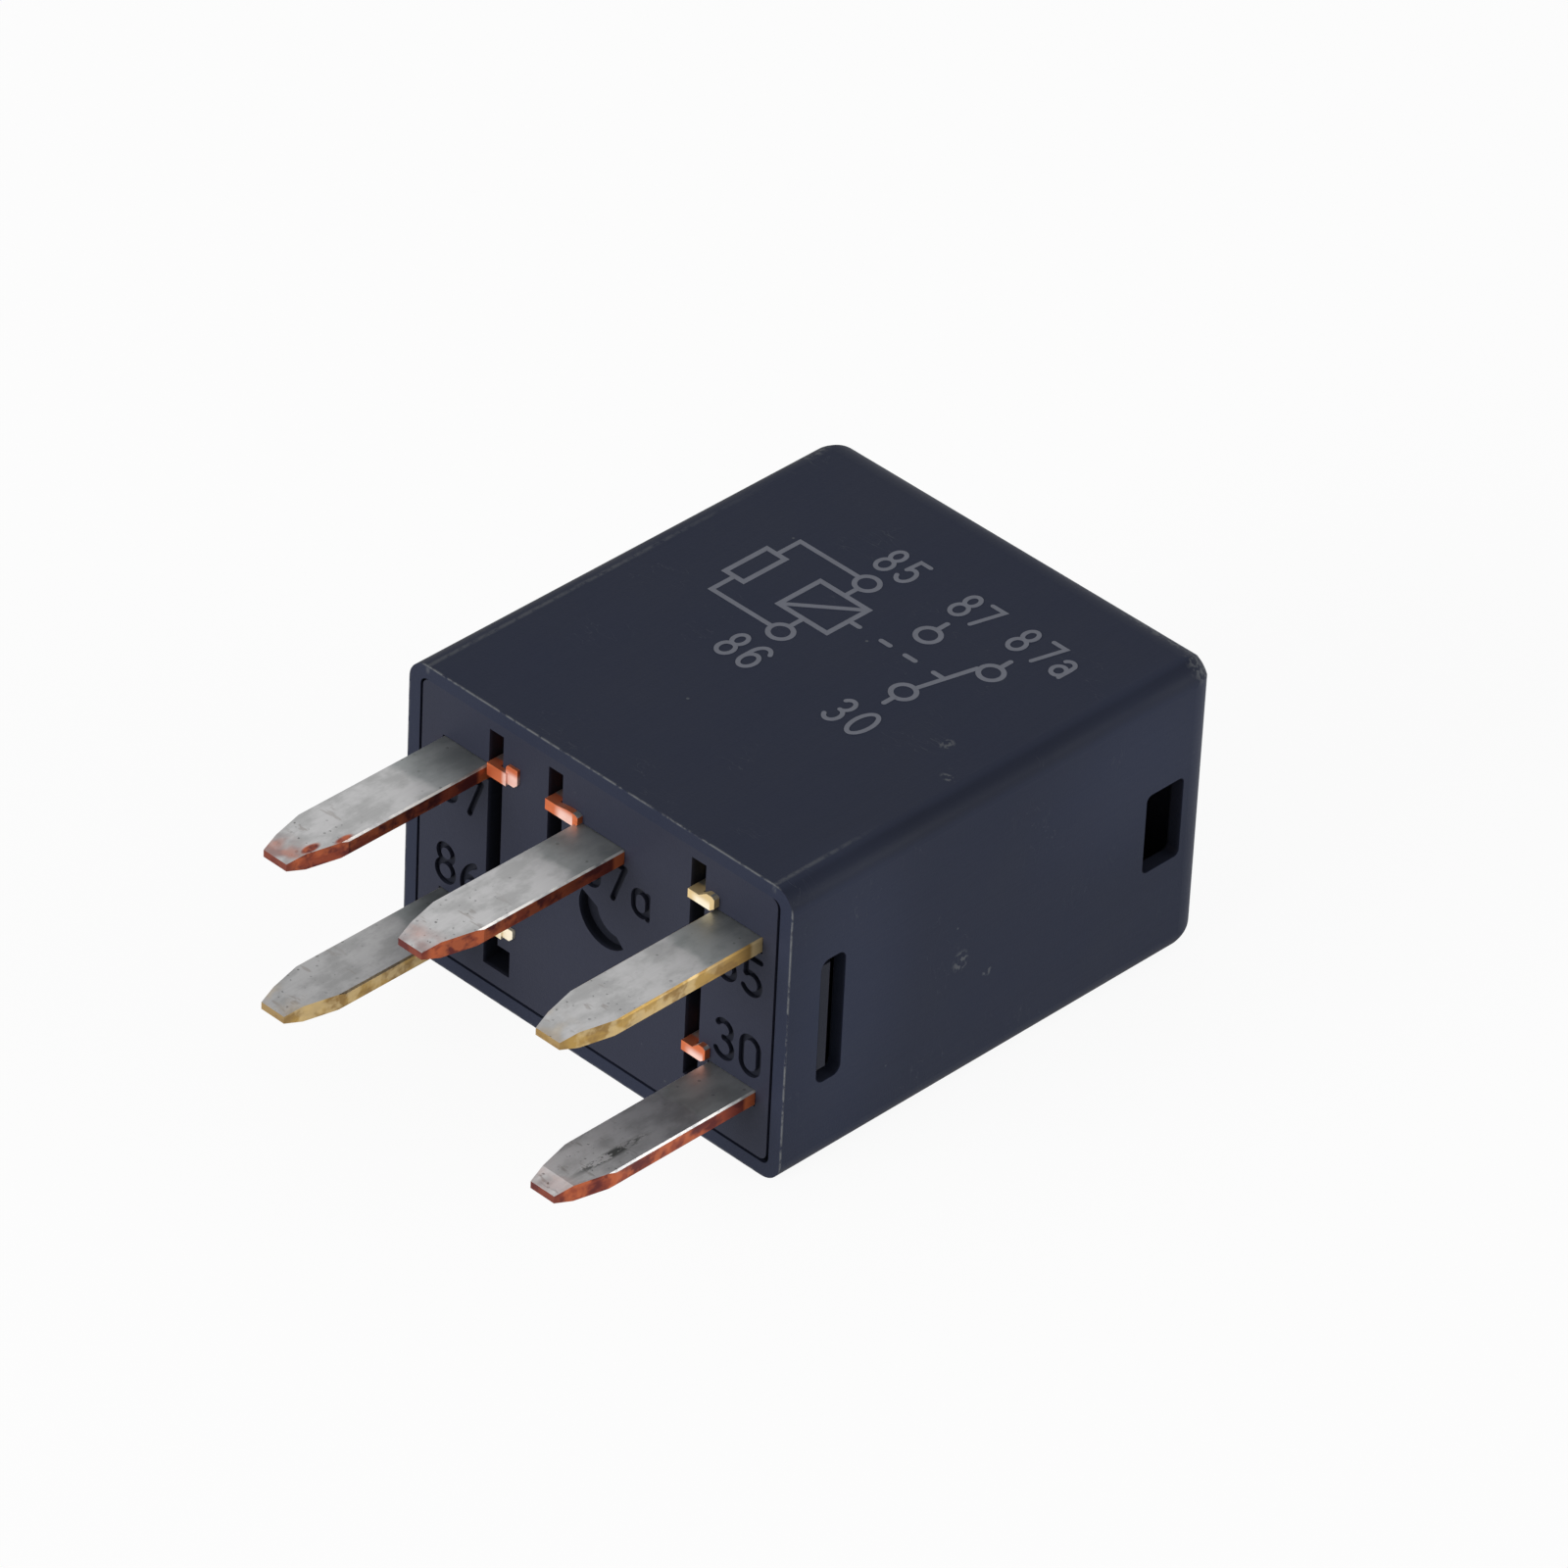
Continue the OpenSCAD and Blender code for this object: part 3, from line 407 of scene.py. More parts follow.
@dataclass(frozen=True)
class MouldedPlastic:
    """Satin moulded plastic with a spark-eroded grain, drawn lines, scuffs and worn edges, and with painted
    light: shade on its roundings and in its hollows, highlights on its edges and corners, and paler patches.

    Attributes:
        name: Name of the material.
        colour: Colour of the flat faces.
        worn_and_highlit: Colour that worn edges, scuffs and the painted highlights on edges and corners turn
            to.
        dirt_and_shade: Colour of dust and painted shade in the grooves and behind the seating face.
        roughness: Roughness of the flat faces.
        gloss: Specular level.
        rim: Depth of the rim edge that is painted pale, as wear and a painted highlight, from the seating
            face, in mm; 0 for none.
        ridge: Distance from the middle to where the long edges' roundings start, in mm.
        scuffs_and_highlights: Places of scuffs and of painted highlights.
        painted_light_patches: Large patches on the right side painted a little paler, as painted light.
    """

    name: str
    colour: Colour
    worn_and_highlit: Colour
    dirt_and_shade: Colour
    roughness: float = 0.5
    gloss: float = 0.2
    rim: float = 0.0
    ridge: float = 10.38
    scuffs_and_highlights: tuple[Zone, ...] = ()
    painted_light_patches: tuple[Zone, ...] = ()

    def worn_and_highlit_edges(self, board: Surface, grain: Sock) -> Sock:
        """Where the rim, the rounded end and the long edges are painted pale: wear, with painted highlights
        on the rim and along the long edges' roundings.

        Args:
            board: The surface.
            grain: Its grain, which breaks the wear of the rounded end up.

        Returns:
            The mask.
        """
        x, y, z = board.xyz
        ny = board.facing[1]
        ragged = board.noise(2.1, 4.0, 0.72, 9.4)
        outward = abs(x) - SIDE | (abs(z - MIDDLE) - MIDDLE)
        # Wear and a painted highlight along the rim's outer edge.
        rim = board.ramp(y - SEATING, self.rim, 0.0) * board.ramp(outward, -self.rim, 0.0)
        rim = rim * board.ramp(ragged, 0.36, 0.56)
        end = board.ramp(ny, 0.3, 0.6) * board.ramp(ny, 0.97, 0.85)
        end = end * board.ramp(board.noise(1.1, 3.0, 0.6, 6.6), 0.56, 0.68) * board.ramp(grain, 0.4, 0.62)
        left = board.ramp(x, 1.0, -1.0)
        stretch = left * board.ramp(y, 9.0, -2.0) | (1.0 - left) * board.ramp(y, -6.5, -10.5)
        # Painted highlight: a pale line along the top of the long edges' roundings, mostly on the left edge.
        ridge = board.ramp(abs(abs(x) - self.ridge), 0.17, 0.02) * board.ramp(z, TOP - 0.5, TOP - 0.2)
        ridge = ridge * stretch * board.ramp(ragged, 0.34, 0.6)
        return rim | end * 0.3 | ridge * 0.4

    def marks(self, board: Surface) -> Sock:
        """Where small knocks, hairlines, scuffs and painted highlights show pale.

        Args:
            board: The surface.

        Returns:
            The mask.
        """
        worn_and_highlit = board.cells(0.55, 0.05, 4.0) * board.ramp(board.noise(0.6, 2.0, 0.5, 8.8), 0.5, 0.62) * 0.5
        hair = board.ramp(abs(board.noise((0.5, 2.2, 0.5), 2.0, 0.4, 6.3) - 0.5), 0.006, 0.001)
        hair = hair * board.ramp(abs(board.facing[1]), 0.6, 0.3)
        worn_and_highlit = worn_and_highlit | hair * board.ramp(board.noise(0.35, 1.0, 0.5, 1.1), 0.56, 0.66) * 0.15
        # Scuffs, and painted highlights at the cover's far top corners.
        for centre, size in self.scuffs_and_highlights:
            torn = board.ramp(board.noise(4.5, 2.0, 0.45, centre[0]), 0.48, 0.6)
            worn_and_highlit = worn_and_highlit | board.spot(centre, size) * torn * 0.55
        return worn_and_highlit

    @staticmethod
    def hollow_dust_and_shade(board: Surface) -> Sock:
        """Where dust gathers and shade is painted darker: inside the cover and on the walls of its windows.

        Args:
            board: The surface.

        Returns:
            The mask.
        """
        x, y, z = board.xyz
        under_side, in_from_seat, in_from_end = SIDE - abs(x), y - SEATING, CLOSED - y
        inside = board.ramp(under_side, 0.55, 0.65) * board.ramp(MIDDLE - abs(z - MIDDLE), 0.55, 0.65)
        inside = inside * board.ramp(in_from_seat, 0.06, 0.25) * board.ramp(in_from_end, 0.75, 0.85)
        window = board.ramp(under_side, 0.02, 0.08) * board.ramp(abs(z - MIDDLE), 5.6, 5.4)
        window = window * board.ramp(in_from_seat, 0.4, 0.6) * board.ramp(in_from_end, 1.85, 1.95)
        return inside | window * 0.7

    def material(self) -> bpy.types.Material:
        """Builds the material.

        Returns:
            The finished material.
        """
        board = Surface(self.name)
        nx, _, nz = board.facing
        cloud = board.noise(0.22, 3.0, 0.55, 3.1)
        drawn = board.noise((5.0, 0.12, 5.0), 3.0, 0.6, 1.3)
        grain = board.noise(11.0, 2.0, 0.5, 7.7)
        fine = board.noise(26.0, 1.0, 0.5, 2.9)
        wear_and_highlights = self.marks(board)
        if self.rim:
            wear_and_highlights = wear_and_highlights | self.worn_and_highlit_edges(board, grain)
        tone_and_painted_light = 0.86 + 0.2 * cloud + 0.12 * drawn
        # Painted light: paler patches on the right side.
        for centre, size in self.painted_light_patches:
            tone_and_painted_light = tone_and_painted_light + 0.3 * board.spot(centre, size, 0.8)
        # Painted shade: the rounded long edges are painted darker.
        rounding_shade = board.ramp(abs(nx), 0.12, 0.5) * board.ramp(abs(nz), 0.12, 0.42)
        colour = board.shade(self.colour, tone_and_painted_light - 0.3 * rounding_shade)
        # Dust and painted shade: darker inside the cover, in its grooves and on the window walls.
        colour = board.mix(self.hollow_dust_and_shade(board) * 0.75, colour, self.dirt_and_shade)
        # Wear, scuffs and painted highlights.
        colour = board.mix(wear_and_highlights, colour, self.worn_and_highlit)
        rough = self.roughness + 0.22 * (cloud - 0.5) + 0.12 * (grain - 0.5) + 0.12 * wear_and_highlights
        relief = board.bump(grain, 0.006)
        relief = board.bump(fine, 0.002, relief)
        relief = board.bump(drawn, 0.004, relief)
        return board.finish(colour, rough, relief, specular_ior_level=self.gloss, ior=1.5)


@dataclass(frozen=True)
class BareMetal:
    """Colours of a strip's core where the tin plate is gone.

    Attributes:
        bare: Clean metal.
        stain: Darker, tarnished metal.
        bright: Freshly sheared metal.
        pale: Painted glint on the end of the small foot beside a blade.
    """

    bare: Colour
    stain: Colour
    bright: Colour
    pale: Colour


BARE_METALS = {
    Core.COPPER: BareMetal(
        bare=(0.30, 0.070, 0.038),
        stain=(0.125, 0.030, 0.028),
        bright=(0.62, 0.17, 0.065),
        pale=(0.80, 0.55, 0.48),
    ),
    Core.BRASS: BareMetal(
        bare=(0.42, 0.27, 0.085),
        stain=(0.28, 0.175, 0.065),
        bright=(0.70, 0.55, 0.30),
        pale=(0.86, 0.80, 0.66),
    ),
}


@dataclass(frozen=True)
class PlatedBlade:
    """Tin plate over a copper or brass strip, with the bare metal on the sheared edges.

    Attributes:
        name: Name of the material.
        core: The metal under the plate.
        blade_x: Middle of the blade across the body, in mm.
        blade_z: Middle of the blade's thickness, in mm.
        seed: Picks another part of the patterns.
        tip_wear: How much bare metal shows round the tip, from 0 to 1.
        tone_and_painted_light: Brightness of the plate, painted lighter or darker for how much light the
            blade reflects.
        burr_highlight: How brightly the sheared upper corner is painted, as a polished burr and a painted
            highlight, from 0 to 1.
        corner: Upward part of the normal at which the plate gives way to the core on a rounded corner.
        foot: Distances from the blade's middle between which the small foot beside it has a painted pale
            glint, in mm.
        rubs: Places where the plate is rubbed through.
        scratch: Place of a dark score, or nothing.
    """

    name: str
    core: Core
    blade_x: float
    blade_z: float
    seed: float
    tip_wear: float = 0.3
    tone_and_painted_light: float = 1.0
    burr_highlight: float = 0.8
    corner: float = 0.45
    foot: tuple[float, float] = (-2.6, -2.1)
    rubs: tuple[Zone, ...] = ()
    scratch: Zone | None = None

    DULL = (0.350, 0.350, 0.350)                    # the plate's darker clouds
    CLEAR = (0.470, 0.467, 0.470)                   # its paler clouds
    # Painted shade and reflection of the dark seating face near the blade's root.
    SHADED = (0.150, 0.180, 0.178)                  # beside the seating face
    RUBBED = (0.215, 0.190, 0.170)                  # where a receptacle has rubbed it
    STAINED = (0.095, 0.098, 0.095)                 # pits and marks
    POLISHED_AND_HIGHLIT = (0.80, 0.77, 0.73)                   # the polished burr and painted highlight along a sheared corner

    def stains(self, board: Surface, out: Sock, grit: Sock) -> Sock:
        """Where pits, dark marks near the tip and the score darken the plate.

        Args:
            board: The surface.
            out: Distance from the seating face, in mm.
            grit: Fine noise that breaks the marks up.

        Returns:
            The mask.
        """
        seed = self.seed
        pits = board.cells(1.7, 0.17, seed) * board.ramp(board.noise(0.8, 2.0, 0.5, seed + 6.0), 0.5, 0.6)
        marks = board.cells(2.6, 0.2, seed + 1.0) * board.ramp(out, 4.5, 8.5) * board.ramp(grit, 0.46, 0.56)
        dark = pits * 0.45 | marks * 0.7
        if self.scratch is not None:
            centre, size = self.scratch
            torn = board.ramp(board.noise((3.0, 1.2, 3.0), 4.0, 0.75, seed + 7.0), 0.42, 0.52)
            dark = dark | board.spot(centre, size, 0.5) * torn
        return dark

    def plate(self, board: Surface, out: Sock, cloud: Sock, rolled: Sock, root_shade: Sock) -> Sock:
        """Colour of the tin plate without its stains.

        Args:
            board: The surface.
            out: Distance from the seating face, in mm.
            cloud: Broad noise.
            rolled: Lines along the blade.
            root_shade: Mask of the painted shade beside the seating face.

        Returns:
            The colour.
        """
        tin = board.mix(board.ramp(cloud, 0.36, 0.62), self.DULL, self.CLEAR)
        # Painted light: each blade's plate is made lighter or darker for the light it reflects.
        tin = board.shade(tin, self.tone_and_painted_light * (0.93 + 0.14 * rolled))
        # Painted shade and reflection of the dark seating face near the blade's root.
        tin = board.mix(root_shade * 0.5, tin, self.SHADED)
        rubbed = board.ramp(board.noise((0.5, 1.6, 0.5), 3.0, 0.7, self.seed + 3.0), 0.6, 0.66)
        return board.mix(rubbed * board.ramp(out, 4.5, 8.5) * 0.45, tin, self.RUBBED)

    def metal(self, board: Surface, out: Sock, cloud: Sock, beside: Sock) -> Sock:
        """Colour of the core where the plate is gone.

        Args:
            board: The surface.
            out: Distance from the seating face, in mm.
            cloud: Broad noise.
            beside: Mask of the small foot beside the blade.

        Returns:
            The colour.
        """
        x, _, z = board.xyz
        tints = BARE_METALS[self.core]
        patch = board.ramp(board.noise(1.1, 3.0, 0.55, self.seed + 8.0), 0.44, 0.58)
        shadow = board.ramp(board.noise((1.2, 0.7, 1.2), 3.0, 0.55, self.seed + 9.0), 0.42, 0.6)
        # Random dark patches, and painted shade on the bare edges towards the seating face.
        colour = board.mix(shadow | board.ramp(out, 3.0, 0.4) * 0.8, tints.bare, tints.stain)
        sheared = patch * board.ramp(out, 1.2, 4.5) * 0.5 | board.ramp(out, 0.75, 0.5) * 0.85
        colour = board.mix(sheared, colour, tints.bright)
        colour = board.mix(board.ramp(out, 10.45, 10.9) * 0.7, colour, tints.stain)
        # Painted glint: the lower end of the small foot beside the blade turns pale.
        foot = beside * board.ramp(out, 0.45, 0.3) * board.ramp(x - self.blade_x, *self.foot)
        foot = foot * board.ramp(z - self.blade_z, 0.95, 0.55)
        return board.mix(foot * (0.45 + 0.9 * cloud), colour, tints.pale)

    def material(self) -> bpy.types.Material:
        """Builds the material.

        Returns:
            The finished material.
        """
        board = Surface(self.name)
        x, y, _ = board.xyz
        upright = abs(board.facing[2])
        out = SEATING - y
        seed = self.seed
        cloud = board.noise((1.0, 0.55, 1.0), 4.0, 0.6, seed)
        rolled = board.noise((9.0, 0.35, 9.0), 3.0, 0.6, seed + 2.0)
        grit = board.noise(7.0, 3.0, 0.6, seed + 4.0)
        # Painted shade: mask of the dark zone near the seating face.
        root_shade = board.ramp(out + 1.6 * (board.noise(0.8, 2.0, 0.5, seed + 13.0) - 0.5), 3.3, 2.7)
        dark = self.stains(board, out, grit)
        tin = board.mix(dark, self.plate(board, out, cloud, rolled, root_shade), self.STAINED)
        across = abs(x - self.blade_x)
        beside = board.ramp(across, BLADE_HALF + 0.01, BLADE_HALF + 0.06) * board.ramp(out, -0.4, -0.2)
        sheared = board.ramp(upright, self.corner, self.corner - 0.15)
        tip = board.ramp(out, 9.3, 10.8) * board.ramp(board.noise(1.1, 1.5, 0.5, seed + 5.0), 0.66, 0.4)
        show = sheared | beside * 0.92 | tip * self.tip_wear
        for centre, size in self.rubs:
            show = show | board.spot(centre, size, 0.3) * board.ramp(cloud, 0.2, 0.4)
        colour = board.mix(show, tin, self.metal(board, out, cloud, beside))
        # Painted highlight, with a polished burr, along the sheared upper corner.
        burr_highlight = board.ramp(upright, self.corner - 0.05, self.corner + 0.1) * board.ramp(upright, 0.93, 0.85)
        burr_highlight = burr_highlight * board.ramp(board.noise((1.2, 0.8, 1.2), 3.0, 0.6, seed + 11.0), 0.4, 0.6)
        colour = board.mix(burr_highlight * self.burr_highlight, colour, self.POLISHED_AND_HIGHLIT)
        rough = 0.33 + 0.12 * cloud + 0.12 * dark + 0.06 * show + 0.1 * root_shade
        relief = board.bump(rolled, 0.004)
        relief = board.bump(grit, 0.003, relief)
        relief = board.bump(1.0 - dark, 0.006, relief)
        drawn = board.noise((0.6, 0.6, 5.0), 2.0, 0.5, seed + 12.0)
        relief = board.bump(drawn * sheared, 0.02, relief)
        return board.finish(colour, rough, relief, metallic=1.0)


@dataclass(frozen=True)
class SheetMetal:
    """A plain plated or bare metal with rolling lines, clouds and small pits.

    Attributes:
        name: Name of the material.
        colour: Main colour.
        second: Colour of the clouds.
        roughness: Roughness.
        along: Direction of the rolling lines.
        tarnish: Strength of the darker clouds, from 0 to 1.
    """

    name: str
    colour: Colour
    second: Colour
    roughness: float = 0.34
    along: Axis = Axis.Y
    tarnish: float = 0.5

    def material(self) -> bpy.types.Material:
        """Builds the material.

        Returns:
            The finished material.
        """
        board = Surface(self.name)
        scale = [8.0, 8.0, 8.0]
        scale[self.along.value] = 0.4
        lines = board.noise(scale, 3.0, 0.6, 2.2)
        cloud = board.noise(0.7, 4.0, 0.6, 4.4)
        pits = board.cells(2.2, 0.15, 6.0)
        colour = board.mix(board.ramp(cloud, 0.4, 0.62) * self.tarnish, self.colour, self.second)
        colour = board.shade(colour, 0.92 + 0.16 * lines)
        colour = board.mix(pits * 0.4, colour, tuple(0.35 * c for c in self.second))
        rough = self.roughness + 0.16 * (cloud - 0.5) + 0.1 * pits
        relief = board.bump(lines, 0.004)
        relief = board.bump(1.0 - pits, 0.004, relief)
        return board.finish(colour, rough, relief, metallic=1.0)


@dataclass(frozen=True)
class BobbinPlastic:
    """Natural glass-filled plastic with short pale fibres and a soft sheen.

    Attributes:
        name: Name of the material.
        colour: Colour of the plastic.
        fibre: Colour of the fibres at its surface.
    """

    name: str = "natural_glass_filled_plastic"
    colour: Colour = (0.70, 0.63, 0.47)
    fibre: Colour = (0.82, 0.78, 0.66)

    def material(self) -> bpy.types.Material:
        """Builds the material.

        Returns:
            The finished material.
        """
        board = Surface(self.name)
        cloud = board.noise(0.5, 3.0, 0.55, 1.0)
        fibres = board.ramp(board.noise((1.0, 6.0, 6.0), 3.0, 0.6, 2.0), 0.54, 0.62)
        colour = board.shade(self.colour, 0.88 + 0.24 * cloud)
        colour = board.mix(fibres * 0.3, colour, self.fibre)
        relief = board.bump(board.noise(14.0, 2.0, 0.5, 3.0), 0.004)
        rough = 0.42 + 0.2 * (cloud - 0.5)
        return board.finish(colour, rough, relief, specular_ior_level=0.4)


@dataclass(frozen=True)
class Enamel:
    """Clear amber enamel over copper wire, a little darker where it pools.

    Attributes:
        name: Name of the material.
        colour: Colour where the enamel is thin.
        pooled: Colour where it is thick.
    """

    name: str = "enamelled_copper"
    colour: Colour = (0.52, 0.17, 0.055)
    pooled: Colour = (0.33, 0.085, 0.03)

    def material(self) -> bpy.types.Material:
        """Builds the material.

        Returns:
            The finished material.
        """
        board = Surface(self.name)
        cloud = board.noise(0.9, 3.0, 0.6, 5.0)
        along = board.noise((0.8, 7.0, 0.8), 2.0, 0.5, 8.0)
        colour = board.mix(board.ramp(cloud, 0.38, 0.64), self.colour, self.pooled)
        colour = board.shade(colour, 0.85 + 0.3 * along)
        rough = 0.24 + 0.14 * cloud
        relief = board.bump(along, 0.004)
        return board.finish(colour, rough, relief, metallic=0.75, coat_weight=0.6, coat_roughness=0.18)


@dataclass(frozen=True)
class BandedLacquer:
    """The resistor's lacquer with four printed bands across it.

    Attributes:
        name: Name of the material.
        body: Colour of the lacquer.
        bands: Place along X and colour of each band, in mm.
        width: Width of a band, in mm.
    """

    name: str = "resistor_lacquer"
    body: Colour = (0.20, 0.36, 0.47)
    bands: tuple[tuple[float, Colour], ...] = (
        (-3.35, (0.25, 0.03, 0.25)),
        (-2.2, (0.03, 0.11, 0.45)),
        (-1.1, (0.14, 0.045, 0.02)),
        (1.1, (0.55, 0.37, 0.10)),
    )
    width: float = 0.42

    def material(self) -> bpy.types.Material:
        """Builds the material.

        Returns:
            The finished material.
        """
        board = Surface(self.name)
        x = board.xyz[0]
        wobble = 0.08 * (board.noise(1.8, 2.0, 0.5, 3.0) - 0.5)
        cloud = board.noise(1.2, 3.0, 0.6, 1.0)
        colour = board.shade(self.body, 0.85 + 0.3 * cloud)
        for place, ink in self.bands:
            band = board.ramp(abs(x + wobble - place), self.width / 2 + 0.03, self.width / 2 - 0.03)
            colour = board.mix(band, colour, ink)
        relief = board.bump(cloud, 0.02)
        rough = 0.2 + 0.16 * cloud
        return board.finish(colour, rough, relief, coat_weight=0.5, coat_roughness=0.12)


@dataclass(frozen=True)
class MarkingInk:
    """Pale grey marking that has dulled unevenly.

    Attributes:
        name: Name of the material.
        colour: Colour of the ink.
    """

    name: str = "circuit_marking_ink"
    colour: Colour = (0.128, 0.136, 0.165)

    def material(self) -> bpy.types.Material:
        """Builds the material.

        Returns:
            The finished material.
        """
        board = Surface(self.name)
        cloud = board.noise(1.3, 4.0, 0.65, 2.0)
        grain = board.noise(14.0, 2.0, 0.6, 4.0)
        colour = board.shade(self.colour, 0.72 + 0.42 * cloud + 0.16 * grain)
        relief = board.bump(grain, 0.003)
        rough = 0.62 + 0.2 * (cloud - 0.5)
        return board.finish(colour, rough, relief, specular_ior_level=0.2)


# ----------------------------------------------------------------------------------------------- pieces


class Piece:
    """Helpers that every sub-assembly uses to make and dress meshes."""

    @staticmethod
    def dress(node: str, material: bpy.types.Material) -> None:
        """Gives a CAD node's mesh one material in every slot.

        Args:
            node: Name of the CAD node.
            material: The material.
        """
        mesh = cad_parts[node].data
        if not mesh.materials:
            mesh.materials.append(material)
        for i in range(len(mesh.materials)):
            mesh.materials[i] = material
        LOG.info("dressed %s with %s", node, material.name)

    @staticmethod
    def new_object(
        name: str, bm: bmesh.types.BMesh, material: bpy.types.Material, smooth: float = 0.0
    ) -> bpy.types.Object:
        """Turns a bmesh into an object with one material.

        Args:
            name: The piece's name.
            bm: Its mesh, in metres, which is freed.
            material: Its material.
            smooth: Largest angle in degrees that is shaded smooth; 0 for flat shading.

        Returns:
            The new object.
        """
        mesh = bpy.data.meshes.new(name)
        bmesh.ops.recalc_face_normals(bm, faces=bm.faces)
        bm.to_mesh(mesh)
        bm.free()
        mesh.materials.append(material)
        if smooth:
            mesh.shade_smooth()
            mesh.set_sharp_from_angle(angle=math.radians(smooth))
        piece = bpy.data.objects.new(name, mesh)
        bpy.context.scene.collection.objects.link(piece)
        LOG.info("built %s: %d faces", name, len(mesh.polygons))
        return piece


@dataclass
class Housing(Piece):
    """The cover and the base plate.

    Attributes:
        cover_finish: Finish of the cover.
        base_finish: Finish of the base plate.
    """

    cover_finish: MouldedPlastic = MouldedPlastic(
        "cover_plastic",
        colour=(0.0168, 0.0208, 0.0375),
        worn_and_highlit=(0.115, 0.122, 0.130),
        dirt_and_shade=(0.009, 0.010, 0.014),
        roughness=0.55,
        gloss=0.08,
        rim=0.1,
        # Scuffs; the spots at the two far top corners, at x -11.1 and 11.0, are painted highlights.
        scuffs_and_highlights=(
            ((11.5, -2.55, 6.6), (0.6, 0.42, 0.5)),
            ((11.5, -0.85, 5.2), (0.6, 0.25, 0.22)),
            ((-11.1, 10.6, 15.0), (0.6, 1.2, 0.5)),
            ((8.2, -0.6, 15.2), (0.3, 0.35, 0.3)),
            ((9.9, -2.3, 15.2), (0.35, 0.2, 0.3)),
            ((8.4, 12.2, 14.9), (2.6, 0.5, 0.4)),
            ((11.0, 12.1, 14.7), (0.7, 0.8, 0.8)),
        ),
        # Painted light: two large paler patches on the right side.
        painted_light_patches=(((11.5, 8.5, 11.5), (1.5, 5.0, 3.5)), ((11.5, -9.5, 9.0), (1.5, 3.0, 7.0))),
    )
    base_finish: MouldedPlastic = MouldedPlastic(
        "base_plastic",
        colour=(0.0190, 0.0215, 0.0355),
        worn_and_highlit=(0.070, 0.074, 0.082),
        dirt_and_shade=(0.005, 0.006, 0.009),
        roughness=0.54,
        gloss=0.1,
    )

    def dress_all(self) -> None:
        """Dresses the two mouldings."""
        self.dress("cover", self.cover_finish.material())
        self.dress("base", self.base_finish.material())


@dataclass
class Terminals(Piece):
    """The five stamped terminals.

    Attributes:
        finishes: Finish of each terminal, whose name ends with the terminal's number.
    """

    # The tone values paint some blades lighter and others darker, as painted light.
    finishes: tuple[PlatedBlade, ...] = (
        PlatedBlade(
            "tin_plate_87",
            Core.COPPER,
            LEFT,
            HIGH,
            3.0,
            tip_wear=0.6,
            tone_and_painted_light=1.03,
            foot=(2.35, 2.6),
            rubs=(((-7.2, -22.7, 12.15), (0.22, 0.5, 0.25)), ((-6.75, -21.2, 12.0), (0.18, 0.5, 0.4))),
        ),
        PlatedBlade("tin_plate_87a", Core.COPPER, CENTRE, HIGH, 17.0, tip_wear=0.4, tone_and_painted_light=1.07),
        PlatedBlade(
            "tin_plate_30",
            Core.COPPER,
            RIGHT,
            LOW,
            29.0,
            tone_and_painted_light=1.4,
            scratch=((8.9, -20.45, 4.15), (0.22, 1.9, 0.3)),
        ),
        PlatedBlade("tin_plate_85", Core.BRASS, RIGHT, HIGH, 41.0, burr_highlight=0.3, corner=0.9),
        PlatedBlade(
            "tin_plate_86", Core.BRASS, LEFT, LOW, 53.0, tone_and_painted_light=0.82, burr_highlight=0.4, corner=0.8, foot=(2.35, 2.6)
        ),
    )

    def dress_all(self) -> None:
        """Dresses the terminals."""
        for finish in self.finishes:
            self.dress(finish.name.replace("tin_plate", "terminal"), finish.material())


